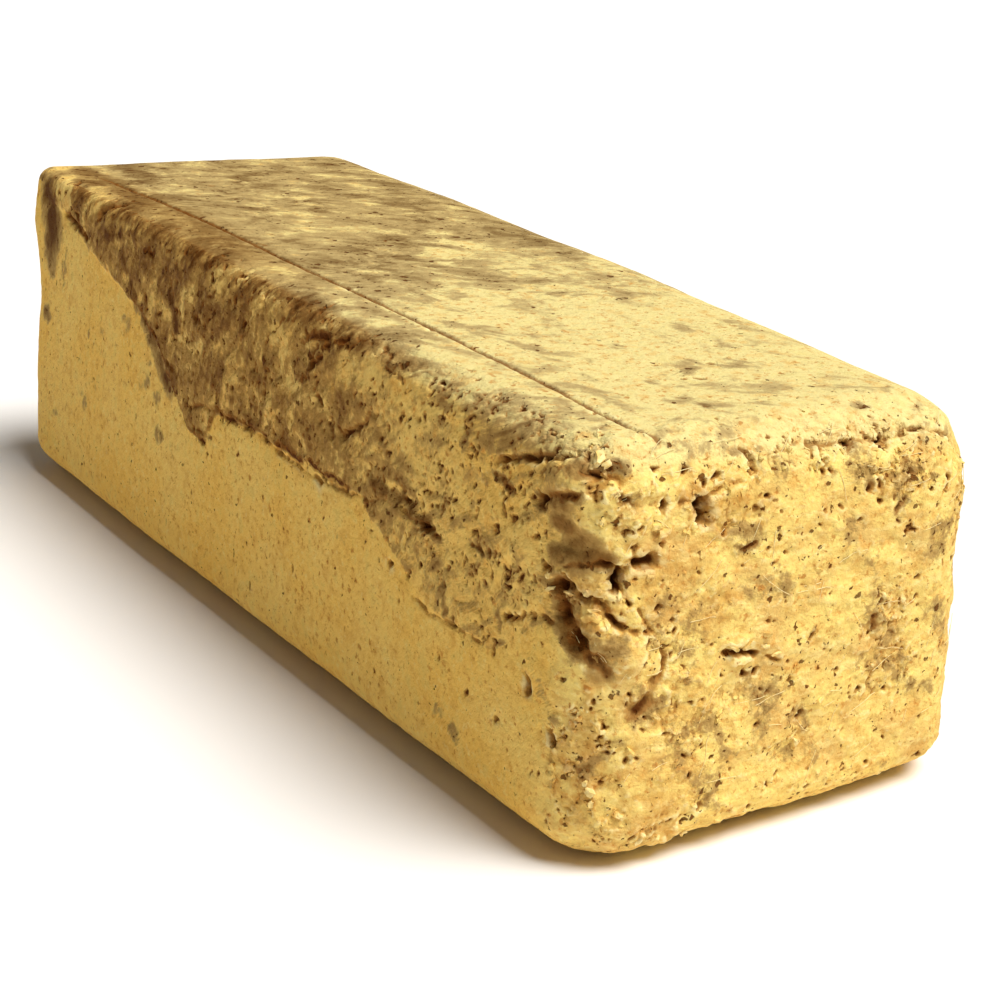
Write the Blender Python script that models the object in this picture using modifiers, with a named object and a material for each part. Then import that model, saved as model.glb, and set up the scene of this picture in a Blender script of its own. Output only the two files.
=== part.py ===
"""A counter loaf of marble halva, modelled as one solid.

The block is the skin stretched over balls set in its corners. The crease pressed along its
top, the crumbling dark shoulder, the crevices and the torn near end are worked into that skin.
X runs along the loaf with the torn end at +X, the dark shoulder faces -Y and Z is up. The
origin is under the middle of the loaf. Lengths are metres.
"""
import bmesh
import bpy
import numpy as np
from mathutils import Matrix, Vector, noise

MM = 0.001

# Driving sizes: the block between its flat faces, before they swell.
LENGTH = 288 * MM
WIDTH = 95 * MM
HEIGHT = 81.5 * MM
SIDE_SWELL = 1.0 * MM
TOP_SWELL = 0.8 * MM

# Each corner of the block: which way it lies, how far it has moved from the square block, the
# radius of its ball and how tall that ball is for its radius.
CORNERS = [
    ((-1, -1, 0), (1.0, -4.6, 0.0), 16.0, 0.6),
    ((-1, -1, 1), (0.5, 1.7, 0.4), 4.5, 1.0),
    ((-1, 1, 0), (0.0, 0.0, 0.0), 9.0, 0.6),
    ((-1, 1, 1), (1.1, 2.0, -0.1), 17.5, 1.0),
    ((1, -1, 0), (1.6, 0.6, 0.0), 16.5, 0.6),
    ((1, -1, 1), (1.0, 2.1, 0.8), 9.5, 1.0),
    ((1, 1, 0), (-5.0, 2.7, 0.0), 15.5, 0.6),
    ((1, 1, 1), (-0.4, -0.6, -0.4), 16.5, 1.0),
]
LONG_EDGE_BALLS = 7

# Middle of the finished loaf, in the square block's measure.
MIDDLE = Vector((1.8 * MM, -0.75 * MM, 0.0))

# The skin is worked at SKIN_STEP and then thinned to SKIN_TRIANGLES.
SKIN_STEP = 1.2 * MM
SKIN_TRIANGLES = 11400

# Halva is pulled in layers. They lie across the loaf, slanting over its top and leaning
# forward up its side, the more so near the torn end.
LAYER_RUN = 15 * MM
LAYER_THICKNESS = 4 * MM
LAYER_SLANT = 0.45
LAYER_LEAN = 0.25
LAYER_LEAN_NEAR_END = 1.25

# Lower edge of the dark band on the side, as places along the loaf and heights.
BAND_EDGE_X = [-150, -118, -98, -78, -60, -48, -38, -28, -18, -13, 0, 60, 80, 100, 150]
BAND_EDGE_Z = [76, 74, 69, 64, 61, 55, 48, 40, 39, 48, 49, 50, 51, 54, 57]
BAND_STEP = 0.7 * MM

# Crevices: depth and half-width in mm, then the places that they run through.
CREVICES = [
    # the crease pressed along the whole top
    (0.8, 1.1, [(-146, -36, 82), (-108, -35, 82), (-78, -34, 82.5), (-47, -33, 82.5), (3, -32, 82.5),
                (62, -31, 82.5), (101, -30.5, 82), (140, -29, 81.5)]),
    # under the rolled top edge of the torn end
    (1.6, 1.2, [(141, 4, 76.5), (140.5, 12, 76), (140.5, 20, 75.5), (139, 29, 76), (139, 32.5, 75),
                (138, 39.5, 72)]),
    # slanting cuts below the middle of that edge
    (2.2, 1.3, [(141, -11.5, 78), (142, -10.5, 76.5), (143.5, -9, 74)]),
    # the deepest crack of the end and the fine one that crosses its top
    (3.6, 1.6, [(144.5, -22.5, 70.5), (144.5, -21.5, 69), (144.5, -21.5, 66.5)]),
    (0.9, 0.9, [(144.5, -27, 71), (144.5, -23, 70.5), (144.5, -20, 71.5), (144, -13.5, 73)]),
    # crevices that turn in from the near corner
    (2.8, 1.4, [(144.5, -39.5, 59), (145, -37.5, 60.5), (145.5, -35, 61), (145.5, -29.5, 59.5)]),
    (2.4, 1.3, [(144.5, -40.5, 57), (145, -38.5, 56.5), (145.5, -36.5, 53.5)]),
    # round the proud lump at the near corner
    (1.5, 1.2, [(141.5, -43.5, 53), (144, -41, 53), (145.5, -37.5, 49), (146, -35, 47),
                (146, -32.5, 45.5), (146, -31, 42.5), (146, -30.5, 37)]),
    # the slit with pale lips
    (1.8, 1.0, [(145.5, -15.5, 40), (145.5, -9, 39), (145.5, -5.5, 38)]),
    # above and below the smooth pocket at the near corner
    (1.4, 1.2, [(130.5, -46.5, 57), (135, -46, 59), (141.5, -43.5, 61)]),
    (1.3, 1.1, [(126, -46, 68), (130.5, -45.5, 70.5), (135.5, -45.5, 72), (141, -43, 73.5)]),
    # the long crack under the dark band
    (0.9, 1.2, [(-21.5, -48.5, 47.5), (-12.5, -48.5, 49), (6.5, -48, 49.5), (15.5, -48, 50.5),
                (19.5, -48, 48.5), (41.5, -48, 48), (65, -48, 50), (69, -47.5, 52), (93.5, -47.5, 51.5)]),
    # slanting cracks in the band
    (1.2, 1.1, [(51, -47.5, 60), (59.5, -47, 65), (62.5, -47, 67.5), (65.5, -46.5, 68.5)]),
    (2.0, 1.4, [(-117.5, -46.5, 74), (-107, -46.5, 72), (-99.5, -47, 70.5)]),
    (1.6, 1.2, [(-91.5, -46, 78.5), (-87.5, -45.5, 80.5), (-82, -42, 82)]),
    (1.0, 1.0, [(113, -46, 72), (121.5, -45.5, 75.5), (128.5, -44, 77.5)]),
    (0.8, 0.9, [(117, -47, 46), (122, -47, 45.5), (127, -47, 47), (135.5, -46.5, 46.5)]),
]

# Swells (height over 0) and hollows (under 0), in mm: height, the half-sizes along X, Y and Z,
# and the place of the middle.
SWELLS = [
    (-1.4, (6.5, 6, 3.5), (137.5, -45.5, 65)),
    (-1.9, (5.5, 6, 5.5), (138.5, -46, 51)),
    (1.4, (7, 8, 8.5), (146, -36, 41.5)),
    (-2.0, (5, 3.2, 2.8), (146.5, -33, 34.5)),
    (1.0, (7, 6, 5), (144.5, -36, 68)),
    (0.9, (7, 11, 4), (139, -19, 80)),
    (0.7, (7, 16, 3), (139, 20, 79)),
    (1.2, (9, 6, 6), (136, -45, 75)),
    (0.8, (9, 5, 6), (121, -46.5, 59)),
    (-1.2, (11, 5, 3.5), (77.5, -47.5, 54.5)),
    (-1.3, (4, 5, 2.5), (88.5, -47, 53)),
    (1.5, (4, 4, 3.5), (143.5, -26, 3)),
    # down the far upright edge of the torn end
    (0.7, (8, 7, 5), (139, 39, 79)),
    (-1.1, (7, 7, 5), (138, 42, 71)),
    (0.5, (7, 7, 7), (138, 46, 59)),
    (-0.6, (7, 7, 6), (138, 47, 46)),
    (0.5, (7, 7, 6), (138, 47, 36)),
    (-0.4, (8, 7, 6), (136, 47, 15)),
    # down the near upright edge of the far end
    (1.3, (8, 8, 9), (-140, -48, 66)),
    (-1.5, (8, 8, 9), (-140, -49, 48)),
    (0.5, (8, 8, 14), (-140, -49, 24)),
]

# Open holes: depth and radius in mm, and the place.
HOLES = [
    (2.8, 2.0, (126.5, -47.5, 33.5)),
    (2.4, 1.4, (145, -30, 71.5)),
    (2.0, 1.4, (143, -31, 77.5)),
    (2.0, 1.6, (143.5, -25.5, 76)),
    (2.2, 2.0, (145, -37, 73)),
    (2.0, 1.8, (142.5, -37.5, 78.5)),
    (3.0, 2.0, (140.5, 20.5, 75)),
    (2.2, 1.5, (141, 12.5, 75.5)),
    (2.2, 1.5, (143.5, 15.5, 67.5)),
    (1.8, 1.8, (143.5, 23, 63)),
    (2.8, 1.6, (142.5, 35, 66.5)),
    (1.6, 1.3, (145.5, -10, 35.5)),
    (1.6, 1.3, (146, -15.5, 36)),
    (2.2, 1.4, (145, -19, 10)),
    (1.4, 1.8, (144, 3.5, 22)),
    (1.4, 1.5, (142, 24.5, 29.5)),
]

# How rough the surface is, as the height of its layers and lumps in each region.
LAYERS_ALL_OVER = 0.20 * MM
LAYERS_IN_BAND = 0.45 * MM
LAYERS_AT_TORN_END = 0.60 * MM
LUMPS_AT_TORN_END = 0.90 * MM
LUMP_SIZE = 11 * MM
ROLL_HEIGHT = 0.5 * MM
ROLL_SIZE = 45 * MM
FLAT_BASE_HEIGHT = 3 * MM


def rise(value, low, high):
    """Smooth step from 0 at low to 1 at high."""
    t = np.clip((value - low) / (high - low), 0.0, 1.0)
    return t * t * (3.0 - 2.0 * t)


def fractal(points, seed, octaves=3):
    """Fractal noise at each point, about -1 to 1, with lumps of about one unit."""
    shift = Vector((7.3, 3.1, 5.7)) * seed
    return np.array([noise.fractal(Vector(p) + shift, 1.0, 2.0, octaves) for p in points])


def layer_coordinates(points):
    """Each point measured across and along the layers, in units of one streak."""
    x, y, z = points.T
    near_end = rise(x, 40 * MM, 115 * MM) * (1.0 - rise(x, 125 * MM, 147 * MM))
    lean = LAYER_LEAN + (LAYER_LEAN_NEAR_END - LAYER_LEAN) * near_end
    across = x - LAYER_SLANT * y - lean * (z - 0.75 * HEIGHT)
    return np.stack([across / LAYER_THICKNESS, y / LAYER_RUN, z / LAYER_RUN], axis=1)


def on_skin(places, points):
    """The skin's own points nearest to places given in mm."""
    places = np.atleast_2d(places) * MM
    return np.array([points[np.argmin(np.sum((points - place) ** 2, axis=1))] for place in places])


def distance_to_line(points, line):
    """Distance from each point to a line of straight runs."""
    nearest = np.full(len(points), np.inf)
    for start, end in zip(line[:-1], line[1:]):
        run = end - start
        along = np.clip((points - start) @ run / (run @ run), 0.0, 1.0)
        gap = np.linalg.norm(points - start - along[:, None] * run, axis=1)
        nearest = np.minimum(nearest, gap)
    return nearest


def corner_ball(corner):
    """Middle, radius and height ratio of one corner's ball."""
    side, moved, radius, tallness = corner
    half = Vector((LENGTH / 2, WIDTH / 2, HEIGHT))
    out = Vector((side[0], side[1], 1 if side[2] else -1))
    place = Vector(s * h for s, h in zip(side, half)) + Vector(moved) * MM
    reach = Vector((radius, radius, radius * tallness)) * MM
    return place - Vector(o * r for o, r in zip(out, reach)), radius * MM, tallness


def add_ball(bm, middle, radius, tallness):
    """One ball of the block's frame."""
    size = Matrix.Diagonal((1.0, 1.0, tallness, 1.0))
    bmesh.ops.create_icosphere(bm, subdivisions=4, radius=radius, matrix=Matrix.Translation(middle) @ size)


def block_object(name):
    """The smooth block: the skin over the corner balls and over those that swell its long edges."""
    bm = bmesh.new()
    balls = {corner[0]: corner_ball(corner) for corner in CORNERS}
    for middle, radius, tallness in balls.values():
        add_ball(bm, middle, radius, tallness)
    for side in (-1, 1):
        for top in (0, 1):
            far, near = balls[(-1, side, top)], balls[(1, side, top)]
            for step in range(1, LONG_EDGE_BALLS + 1):
                u = step / (LONG_EDGE_BALLS + 1)
                swell = 4 * u * (1 - u)
                middle = far[0].lerp(near[0], u) + Vector((0, side * SIDE_SWELL, top * TOP_SWELL)) * swell
                add_ball(bm, middle, far[1] * (1 - u) + near[1] * u, far[2] * (1 - u) + near[2] * u)
    hull = bmesh.ops.convex_hull(bm, input=bm.verts)
    bmesh.ops.delete(bm, geom=hull["geom_interior"] + hull["geom_unused"], context="VERTS")
    mesh = bpy.data.meshes.new(name)
    bm.to_mesh(mesh)
    bm.free()
    return bpy.data.objects.new(name, mesh)


def apply_modifier(obj, kind, **settings):
    """Adds one modifier, and gives the object the mesh that it makes."""
    modifier = obj.modifiers.new(kind.title(), kind)
    for name, value in settings.items():
        setattr(modifier, name, value)
    graph = bpy.context.evaluated_depsgraph_get()
    mesh = bpy.data.meshes.new_from_object(obj.evaluated_get(graph))
    obj.modifiers.clear()
    obj.data = mesh


def band_amount(points, normals):
    """1 inside the dark band of the side and its shoulder, 0 below it and on the other faces."""
    edge = np.interp(points[:, 0], np.array(BAND_EDGE_X) * MM, np.array(BAND_EDGE_Z) * MM)
    above = rise(points[:, 2] - edge, -0.6 * MM, 1.0 * MM)
    on_side = rise(-normals[:, 1], 0.35, 0.7)
    return above * on_side * rise(-points[:, 0], -120 * MM, -95 * MM)


def relief(points, normals):
    """How far the skin stands out of the smooth block at each point."""
    torn = rise(points[:, 0], 126 * MM, 139 * MM)
    band = band_amount(points, normals)
    layers = fractal(layer_coordinates(points), 1)
    lumps = np.abs(fractal(points / LUMP_SIZE, 2)) * 2.0 - 0.6
    height = ROLL_HEIGHT * fractal(points / ROLL_SIZE, 3, octaves=1)
    height += layers * (LAYERS_ALL_OVER + LAYERS_IN_BAND * band + LAYERS_AT_TORN_END * torn)
    height -= lumps * LUMPS_AT_TORN_END * torn
    height += BAND_STEP * band
    for swell, sizes, place in SWELLS:
        reach = np.linalg.norm((points - np.array(place) * MM) / (np.array(sizes) * MM), axis=1)
        height += swell * MM * np.clip(1.0 - reach ** 2, 0.0, 1.0) ** 2
    wander = fractal(points / (6 * MM), 4, octaves=2)
    for depth, half_width, line in CREVICES:
        gap = distance_to_line(points, on_skin(line, points))
        height -= depth * MM * (1.0 + 0.5 * wander) * np.exp(-(gap / (half_width * MM)) ** 2)
    for depth, radius, place in HOLES:
        gap = np.linalg.norm(points - on_skin(place, points), axis=1)
        height -= depth * MM * np.exp(-(gap / (radius * MM)) ** 4)
    return height


def work_skin(mesh):
    """Pushes the relief into the mesh, presses its base flat and moves it over the origin."""
    mesh.update()
    count = len(mesh.vertices)
    points = np.empty(count * 3)
    mesh.vertices.foreach_get("co", points)
    points = points.reshape(count, 3)
    normals = np.array([vertex.normal for vertex in mesh.vertices])
    off_base = rise(points[:, 2], 0.3 * MM, FLAT_BASE_HEIGHT)
    points = points + normals * (relief(points, normals) * off_base)[:, None] - np.array(MIDDLE)
    points[:, 2] = np.where(points[:, 2] < 0.3 * MM, 0.0, points[:, 2])
    mesh.vertices.foreach_set("co", points.ravel())
    mesh.update()


def halva_material():
    """Pale golden sesame halva, dull and slightly oily."""
    material = bpy.data.materials.new("sesame_halva")
    material.use_nodes = True
    shader = material.node_tree.nodes["Principled BSDF"]
    shader.inputs["Base Color"].default_value = (0.72, 0.50, 0.18, 1.0)
    shader.inputs["Roughness"].default_value = 0.7
    shader.inputs["Metallic"].default_value = 0.0
    return material


def make_loaf(collection):
    """The whole loaf as one closed solid."""
    loaf = block_object("halva_loaf")
    collection.objects.link(loaf)
    apply_modifier(loaf, "REMESH", mode="VOXEL", voxel_size=SKIN_STEP)
    work_skin(loaf.data)
    apply_modifier(loaf, "TRIANGULATE")
    apply_modifier(loaf, "DECIMATE", ratio=SKIN_TRIANGLES / len(loaf.data.polygons))
    loaf.data.name = loaf.name
    loaf.data.materials.append(halva_material())
    return loaf


def main():
    for obj in list(bpy.data.objects):
        bpy.data.objects.remove(obj, do_unlink=True)
    collection = bpy.data.collections.new("marble_halva")
    bpy.context.scene.collection.children.link(collection)
    make_loaf(collection)


main()
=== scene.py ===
"""Looks of the marble halva loaf: its marbled, pitted and torn surface, crumbs, light and camera.

X runs along the loaf with the torn end at +X, the side with the dark band faces -Y and Z is up.
The loaf's own places are in millimetres of the square block that it swells from, as in its
solid, and are moved by MIDDLE and scaled to metres at the end.
"""

import math
from types import SimpleNamespace

import bpy
import numpy as np
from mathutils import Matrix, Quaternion, Vector, noise
from mathutils.kdtree import KDTree


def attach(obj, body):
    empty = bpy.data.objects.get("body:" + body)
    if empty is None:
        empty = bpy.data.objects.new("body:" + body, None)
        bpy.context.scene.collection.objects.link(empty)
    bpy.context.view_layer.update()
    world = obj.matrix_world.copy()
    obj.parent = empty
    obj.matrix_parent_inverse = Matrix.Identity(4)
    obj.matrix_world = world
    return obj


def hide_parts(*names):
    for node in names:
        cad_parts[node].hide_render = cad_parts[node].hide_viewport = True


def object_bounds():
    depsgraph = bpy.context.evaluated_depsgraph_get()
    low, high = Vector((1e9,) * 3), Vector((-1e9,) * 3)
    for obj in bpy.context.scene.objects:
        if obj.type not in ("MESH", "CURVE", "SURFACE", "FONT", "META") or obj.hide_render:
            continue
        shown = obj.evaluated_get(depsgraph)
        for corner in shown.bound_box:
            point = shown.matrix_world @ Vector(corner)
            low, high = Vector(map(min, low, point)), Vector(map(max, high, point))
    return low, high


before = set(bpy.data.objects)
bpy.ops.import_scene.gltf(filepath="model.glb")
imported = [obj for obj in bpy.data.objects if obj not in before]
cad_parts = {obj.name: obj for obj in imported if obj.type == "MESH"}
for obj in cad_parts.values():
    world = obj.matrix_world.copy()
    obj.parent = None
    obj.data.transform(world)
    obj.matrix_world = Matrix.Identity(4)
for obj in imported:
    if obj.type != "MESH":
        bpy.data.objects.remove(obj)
cad_low, cad_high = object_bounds()

MM = 0.001

# The square block's sizes, the swell of its faces, and where the finished loaf's middle lies.
LENGTH, WIDTH, HEIGHT = 288.0, 95.0, 81.5
SIDE_SWELL = 1.0
TOP_SWELL = 0.8
MIDDLE = np.array((1.8, -0.75, 0.0))

# Each corner: which way it lies, how far it has moved, its ball's radius and height ratio.
CORNERS = [
    ((-1, -1, 0), (1.0, -4.6, 0.0), 16.0, 0.6),
    ((-1, -1, 1), (0.5, 1.7, 0.4), 4.5, 1.0),
    ((-1, 1, 0), (0.0, 0.0, 0.0), 9.0, 0.6),
    ((-1, 1, 1), (1.1, 2.0, -0.1), 17.5, 1.0),
    ((1, -1, 0), (1.6, 0.6, 0.0), 16.5, 0.6),
    ((1, -1, 1), (1.0, 2.1, 0.8), 9.5, 1.0),
    ((1, 1, 0), (-5.0, 2.7, 0.0), 15.5, 0.6),
    ((1, 1, 1), (-0.4, -0.6, -0.4), 16.5, 1.0),
]
LONG_EDGE_BALLS = 7

# Mesh: the step of the skin, which is halved over the torn end, the dark band and the crease.
SKIN_STEP = 0.8
SKIN_TRIANGLES = 196000
FINE_FROM_X = 124.0
FINE_BELOW_BAND = 3.0
FINE_BY_CREASE = 1.8

# Lower edge of the dark band on the side: places along the loaf and heights, and how far the
# band stands out from the face below it.
BAND_EDGE_X = [-150, -118, -98, -78, -60, -48, -38, -28, -18, -13, 0, 60, 67, 79, 89, 115, 122, 131, 150]
BAND_EDGE_Z = [76, 74, 69, 64, 61, 55, 48, 40, 39, 48, 49, 50, 46, 41, 36, 35, 41, 46, 55]
BAND_STEP = 0.7

# The crease pressed along the whole top: depth, half-width and the places that it runs through.
CREASE = (1.0, 0.6, [(-146, -36, 82), (-108, -35, 82), (-78, -34, 82.5), (-47, -33, 82.5),
                      (3, -32, 82.5), (62, -31, 82.5), (101, -30.5, 82), (134, -30.8, 82),
                      (139.5, -28.3, 81)])

# Crevices: depth and half-width, then the places that they run through.
CREVICES = [
    # under the rolled top edge of the torn end
    (1.4, 0.8, [(141, 4, 76.5), (140.5, 12, 76), (140.5, 20, 75.5)]),
    (1.2, 0.6, [(140.5, 20, 75.5), (139, 29, 76), (139, 32.5, 75), (138, 39.5, 72)]),
    # slanting cuts below the middle of that edge
    (0.8, 0.5, [(141, -11.5, 78), (142, -10.5, 76.5), (143.5, -9, 74)]),
    # the deepest crack of the end and the fine one that crosses its top
    (3.2, 1.0, [(144.5, -22.5, 70.5), (144.5, -21.5, 69), (144.5, -21.5, 66.5)]),
    (0.6, 0.5, [(144.5, -27, 71), (144.5, -23, 70.5), (144.5, -20, 71.5), (144, -13.5, 73)]),
    # cavity under the flake at the near corner, and the cracks along the shoulder beside it
    (1.5, 1.0, [(138.5, -43.5, 77), (141.5, -42, 77), (143.5, -39, 76.5)]),
    (1.2, 0.7, [(115, -45.8, 73), (119.5, -45.5, 74.5), (123, -45, 76.5)]),
    (1.2, 0.6, [(124.5, -45, 75.5), (127.5, -44.5, 77), (130, -43.5, 78.5)]),
    (1.1, 0.6, [(130, -44, 76.5), (133, -43.5, 78.3), (136, -42, 80)]),
    # ledge over the smooth pocket at the near corner, and the crack under the pocket
    (1.6, 0.9, [(126.5, -45.5, 68.5), (129.5, -45.5, 70), (133, -45.5, 71.5), (137.5, -45, 73),
                (141, -43, 74.5)]),
    (1.7, 0.6, [(131, -46.5, 57.5), (134.5, -46, 58.5), (139.5, -45, 60), (143, -42, 61),
                (144.5, -40, 60.5)]),
    # black holes that turn in beside the pocket
    (3.0, 1.3, [(144.5, -39.8, 57.8), (145, -38, 59.5), (145.5, -36, 61)]),
    (2.0, 1.0, [(145.5, -35.5, 61), (145.5, -32, 60.8)]),
    (2.2, 0.9, [(144.5, -41, 56.5), (144.5, -38.8, 56)]),
    (1.4, 0.8, [(145, -37.5, 73), (144.6, -39.5, 73)]),
    (1.4, 0.7, [(145, -30, 71.5), (145, -30, 69.5)]),
    # dark cavity down the near upright edge
    (2.2, 1.5, [(135.5, -46.5, 56), (136, -46.5, 53), (136.8, -46.5, 50), (138.5, -45.5, 47.5),
                (141, -44.2, 45.7)]),
    (0.9, 1.2, [(141, -44.2, 45.7), (143, -42.5, 42.5), (144.5, -40.5, 40)]),
    # cracks round the lumps beside that cavity
    (1.2, 0.7, [(137, -46, 57.5), (140, -45, 54.8), (141.5, -43.5, 53.8), (143.5, -41.5, 54.2)]),
    (1.5, 0.8, [(143, -42.5, 53.5), (144.5, -40, 51), (145.5, -38, 49), (146, -35, 47.5)]),
    (1.2, 0.55, [(145.5, -35, 52.5), (146, -32, 48.5), (146, -30.5, 46), (146, -28.8, 41.5),
                (146, -29.5, 38)]),
    # the soft groove at the foot of the lump
    (0.9, 1.9, [(146, -30.5, 37.5), (146.5, -32.2, 35), (146.5, -34.8, 32)]),
    # the slit with pale lips
    (1.2, 0.7, [(145.5, -15.5, 40.5), (145.5, -12, 40.2), (145.5, -8, 39)]),
    (0.8, 0.5, [(145.5, -6, 38.2), (145.5, -3, 36.8)]),
    # a drawn-out hole on the side, and a slot low on the near upright edge
    (1.8, 0.9, [(125.8, -47.5, 35.3), (126.8, -47.5, 33.8), (127.1, -47.5, 32)]),
    (1.8, 0.8, [(135, -47.5, 27), (136, -47.3, 24.2)]),
    # the long crack under the dark band
    (0.8, 0.6, [(-27, -48.5, 45.5), (-21.5, -48.5, 47.5), (-12.5, -48.5, 48.5), (6.5, -48, 49),
                (15.5, -48, 49.5), (19.5, -48, 48), (41.5, -48, 47.5)]),
    (0.6, 0.5, [(41.5, -48, 47.5), (65, -48, 50), (69, -47.5, 52), (93.5, -47.5, 51.5)]),
    # slanting cracks in the band
    (1.3, 0.8, [(51, -47.5, 60), (59.5, -47, 65), (62.5, -47, 67.5), (65.5, -46.5, 68.5)]),
    (2.2, 1.1, [(-117.5, -46.5, 74), (-107, -46.5, 72), (-99.5, -47, 70.5)]),
    (1.7, 0.9, [(-91.5, -46, 78.5), (-87.5, -45.5, 80.5), (-82, -42, 82)]),
    (1.1, 0.8, [(113, -46, 72), (121.5, -45.5, 75.5), (128.5, -44, 77.5)]),
    # the fine cracks that cross the side near the torn end
    (0.5, 0.4, [(79, -48.5, 37), (89.5, -48.5, 35), (100.5, -48, 35.5), (107.5, -48, 35.5),
                (115, -48, 35.5)]),
    (1.1, 0.6, [(117.5, -47.5, 43.5), (123, -47, 45), (128, -47, 47.5), (131.5, -47, 48),
                (134, -47, 47.5)]),
]

# Swells (height over 0) and hollows (under 0): height, half-sizes along X, Y and Z, and place.
SWELLS = [
    (-1.8, (7.5, 6, 5), (138, -45, 64)),
    (-1.0, (5.5, 6, 5.5), (138.5, -46, 51)),
    (1.9, (4, 4.5, 4), (143, -42.5, 50)),
    (1.5, (7, 6, 6), (146, -35.5, 42.5)),
    (0.7, (4, 1.6, 3.0), (146, -27.8, 34)),
    (1.5, (5, 4, 4.5), (145, -36, 68)),
    (1.3, (4, 4, 4), (144, -33.5, 75)),
    (1.2, (4, 3.5, 3.5), (143.5, -40.5, 73.5)),
    (0.9, (7, 11, 4), (139, -19, 80)),
    (0.7, (7, 16, 3), (139, 20, 79)),
    (1.2, (9, 6, 6), (136, -45, 75)),
    (0.8, (9, 5, 6), (121, -46.5, 59)),
    (-1.2, (11, 5, 3.5), (77.5, -47.5, 54.5)),
    (-1.3, (4, 5, 2.5), (88.5, -47, 53)),
    (1.5, (4, 4, 3.5), (143.5, -26, 3)),
    (0.6, (0.9, 3, 4.5), (121, -49, 12)),
    # lips of the slit
    (1.0, (4, 5.5, 1.6), (145.5, -12.5, 42.3)),
    (0.8, (4, 5.5, 1.4), (145.5, -11, 38)),
    # down the far upright edge of the torn end
    (0.7, (8, 7, 5), (139, 39, 79)),
    (-1.1, (7, 7, 5), (138, 42, 71)),
    (0.5, (7, 7, 7), (138, 46, 59)),
    (-0.6, (7, 7, 6), (138, 47, 46)),
    (0.5, (7, 7, 6), (138, 47, 36)),
    (-0.4, (8, 7, 6), (136, 47, 15)),
    # down the near upright edge of the far end
    (1.0, (8, 8, 10), (-140, -48, 69)),
    (-2.2, (9, 9, 15), (-141, -49, 47)),
    (0.5, (8, 8, 14), (-140, -49, 24)),
]

# Where the torn end is crumbled: how much, half-sizes and place.
CRUMBLED = [
    (0.7, (12, 8, 5), (134, -42, 78)),
    (0.5, (7, 12, 8), (144, -34, 71)),
    (0.3, (9, 8, 8), (142, -41, 53)),
    (0.55, (10, 9, 14), (141, -44, 22)),
    (0.55, (7, 16, 5), (144, -33, 9)),
    (0.25, (7, 12, 12), (145, -27, 50)),
    (0.6, (7, 12, 7), (145, -16, 68)),
    (0.7, (6, 13, 6), (142, 26, 70)),
    (0.8, (6, 32, 4), (142, 8, 76)),
    (0.7, (6, 9, 8), (143, 23, 42)),
    (0.6, (6, 9, 7), (142, 25, 30)),
    (0.6, (6, 9, 8), (145, -24, 30)),
    (0.5, (6, 10, 5), (145.5, -10, 32)),
    (0.5, (6, 8, 6), (143.5, 3, 21)),
    (0.45, (6, 6, 12), (139, 40, 62)),
]

# Where the paste is toasted to orange-brown: how much, half-sizes and place.
TOASTED = [
    (1.0, (5, 4, 3.5), (142, -40.5, 77)),
    (0.9, (6, 5, 4.5), (142.5, -43, 50.5)),
    (0.6, (8, 7, 5), (140, -44, 56)),
    (0.7, (10, 9, 14), (142, -44, 20)),
    (0.35, (7, 16, 7), (144, -34, 9)),
    (0.6, (7, 13, 9), (145, -30, 57)),
    (0.55, (7, 10, 7), (145.5, -19.5, 49)),
    (0.6, (7, 9, 10), (146, -24, 31)),
    (0.65, (7, 10, 10), (146, -26, 17)),
    (0.7, (7, 11, 6), (144.5, -14, 67)),
    (0.7, (7, 6, 6), (144.5, -23, 71)),
    (0.6, (7, 8, 7), (142, 24, 31)),
    (0.6, (7, 8, 7), (143, 25, 68.5)),
    (0.5, (7, 6, 9), (140, 38, 60)),
    (1.0, (4, 4.5, 2.2), (142, -15, 78)),
    (0.4, (7, 10, 5), (145, 5, 18)),
    (1.0, (2, 3, 3.5), (126.8, -47.5, 33.6)),
]

# Smooth brown smears in the pocket, hollows and under the lumps of the near corner, which are
# painted shade as well as cocoa brown: how dark, half-sizes and place.
SMEARS_AND_SHADE = [
    (0.60, (8, 6, 5.5), (140, -44.5, 63)),
    (0.72, (5, 4, 3), (135.5, -45.5, 67)),
    (0.62, (6, 4, 3), (134, -45.5, 71)),
    (0.72, (5, 5, 3), (142.5, -42.5, 62)),
    (0.60, (5, 4, 3), (135, -46, 61)),
    (0.45, (5, 4, 4), (144, -41.5, 40.5)),
    (0.30, (3.5, 3.2, 3.2), (146.5, -33, 34.2)),
    (0.60, (4, 4, 2.5), (138, -44, 77.5)),
]

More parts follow.
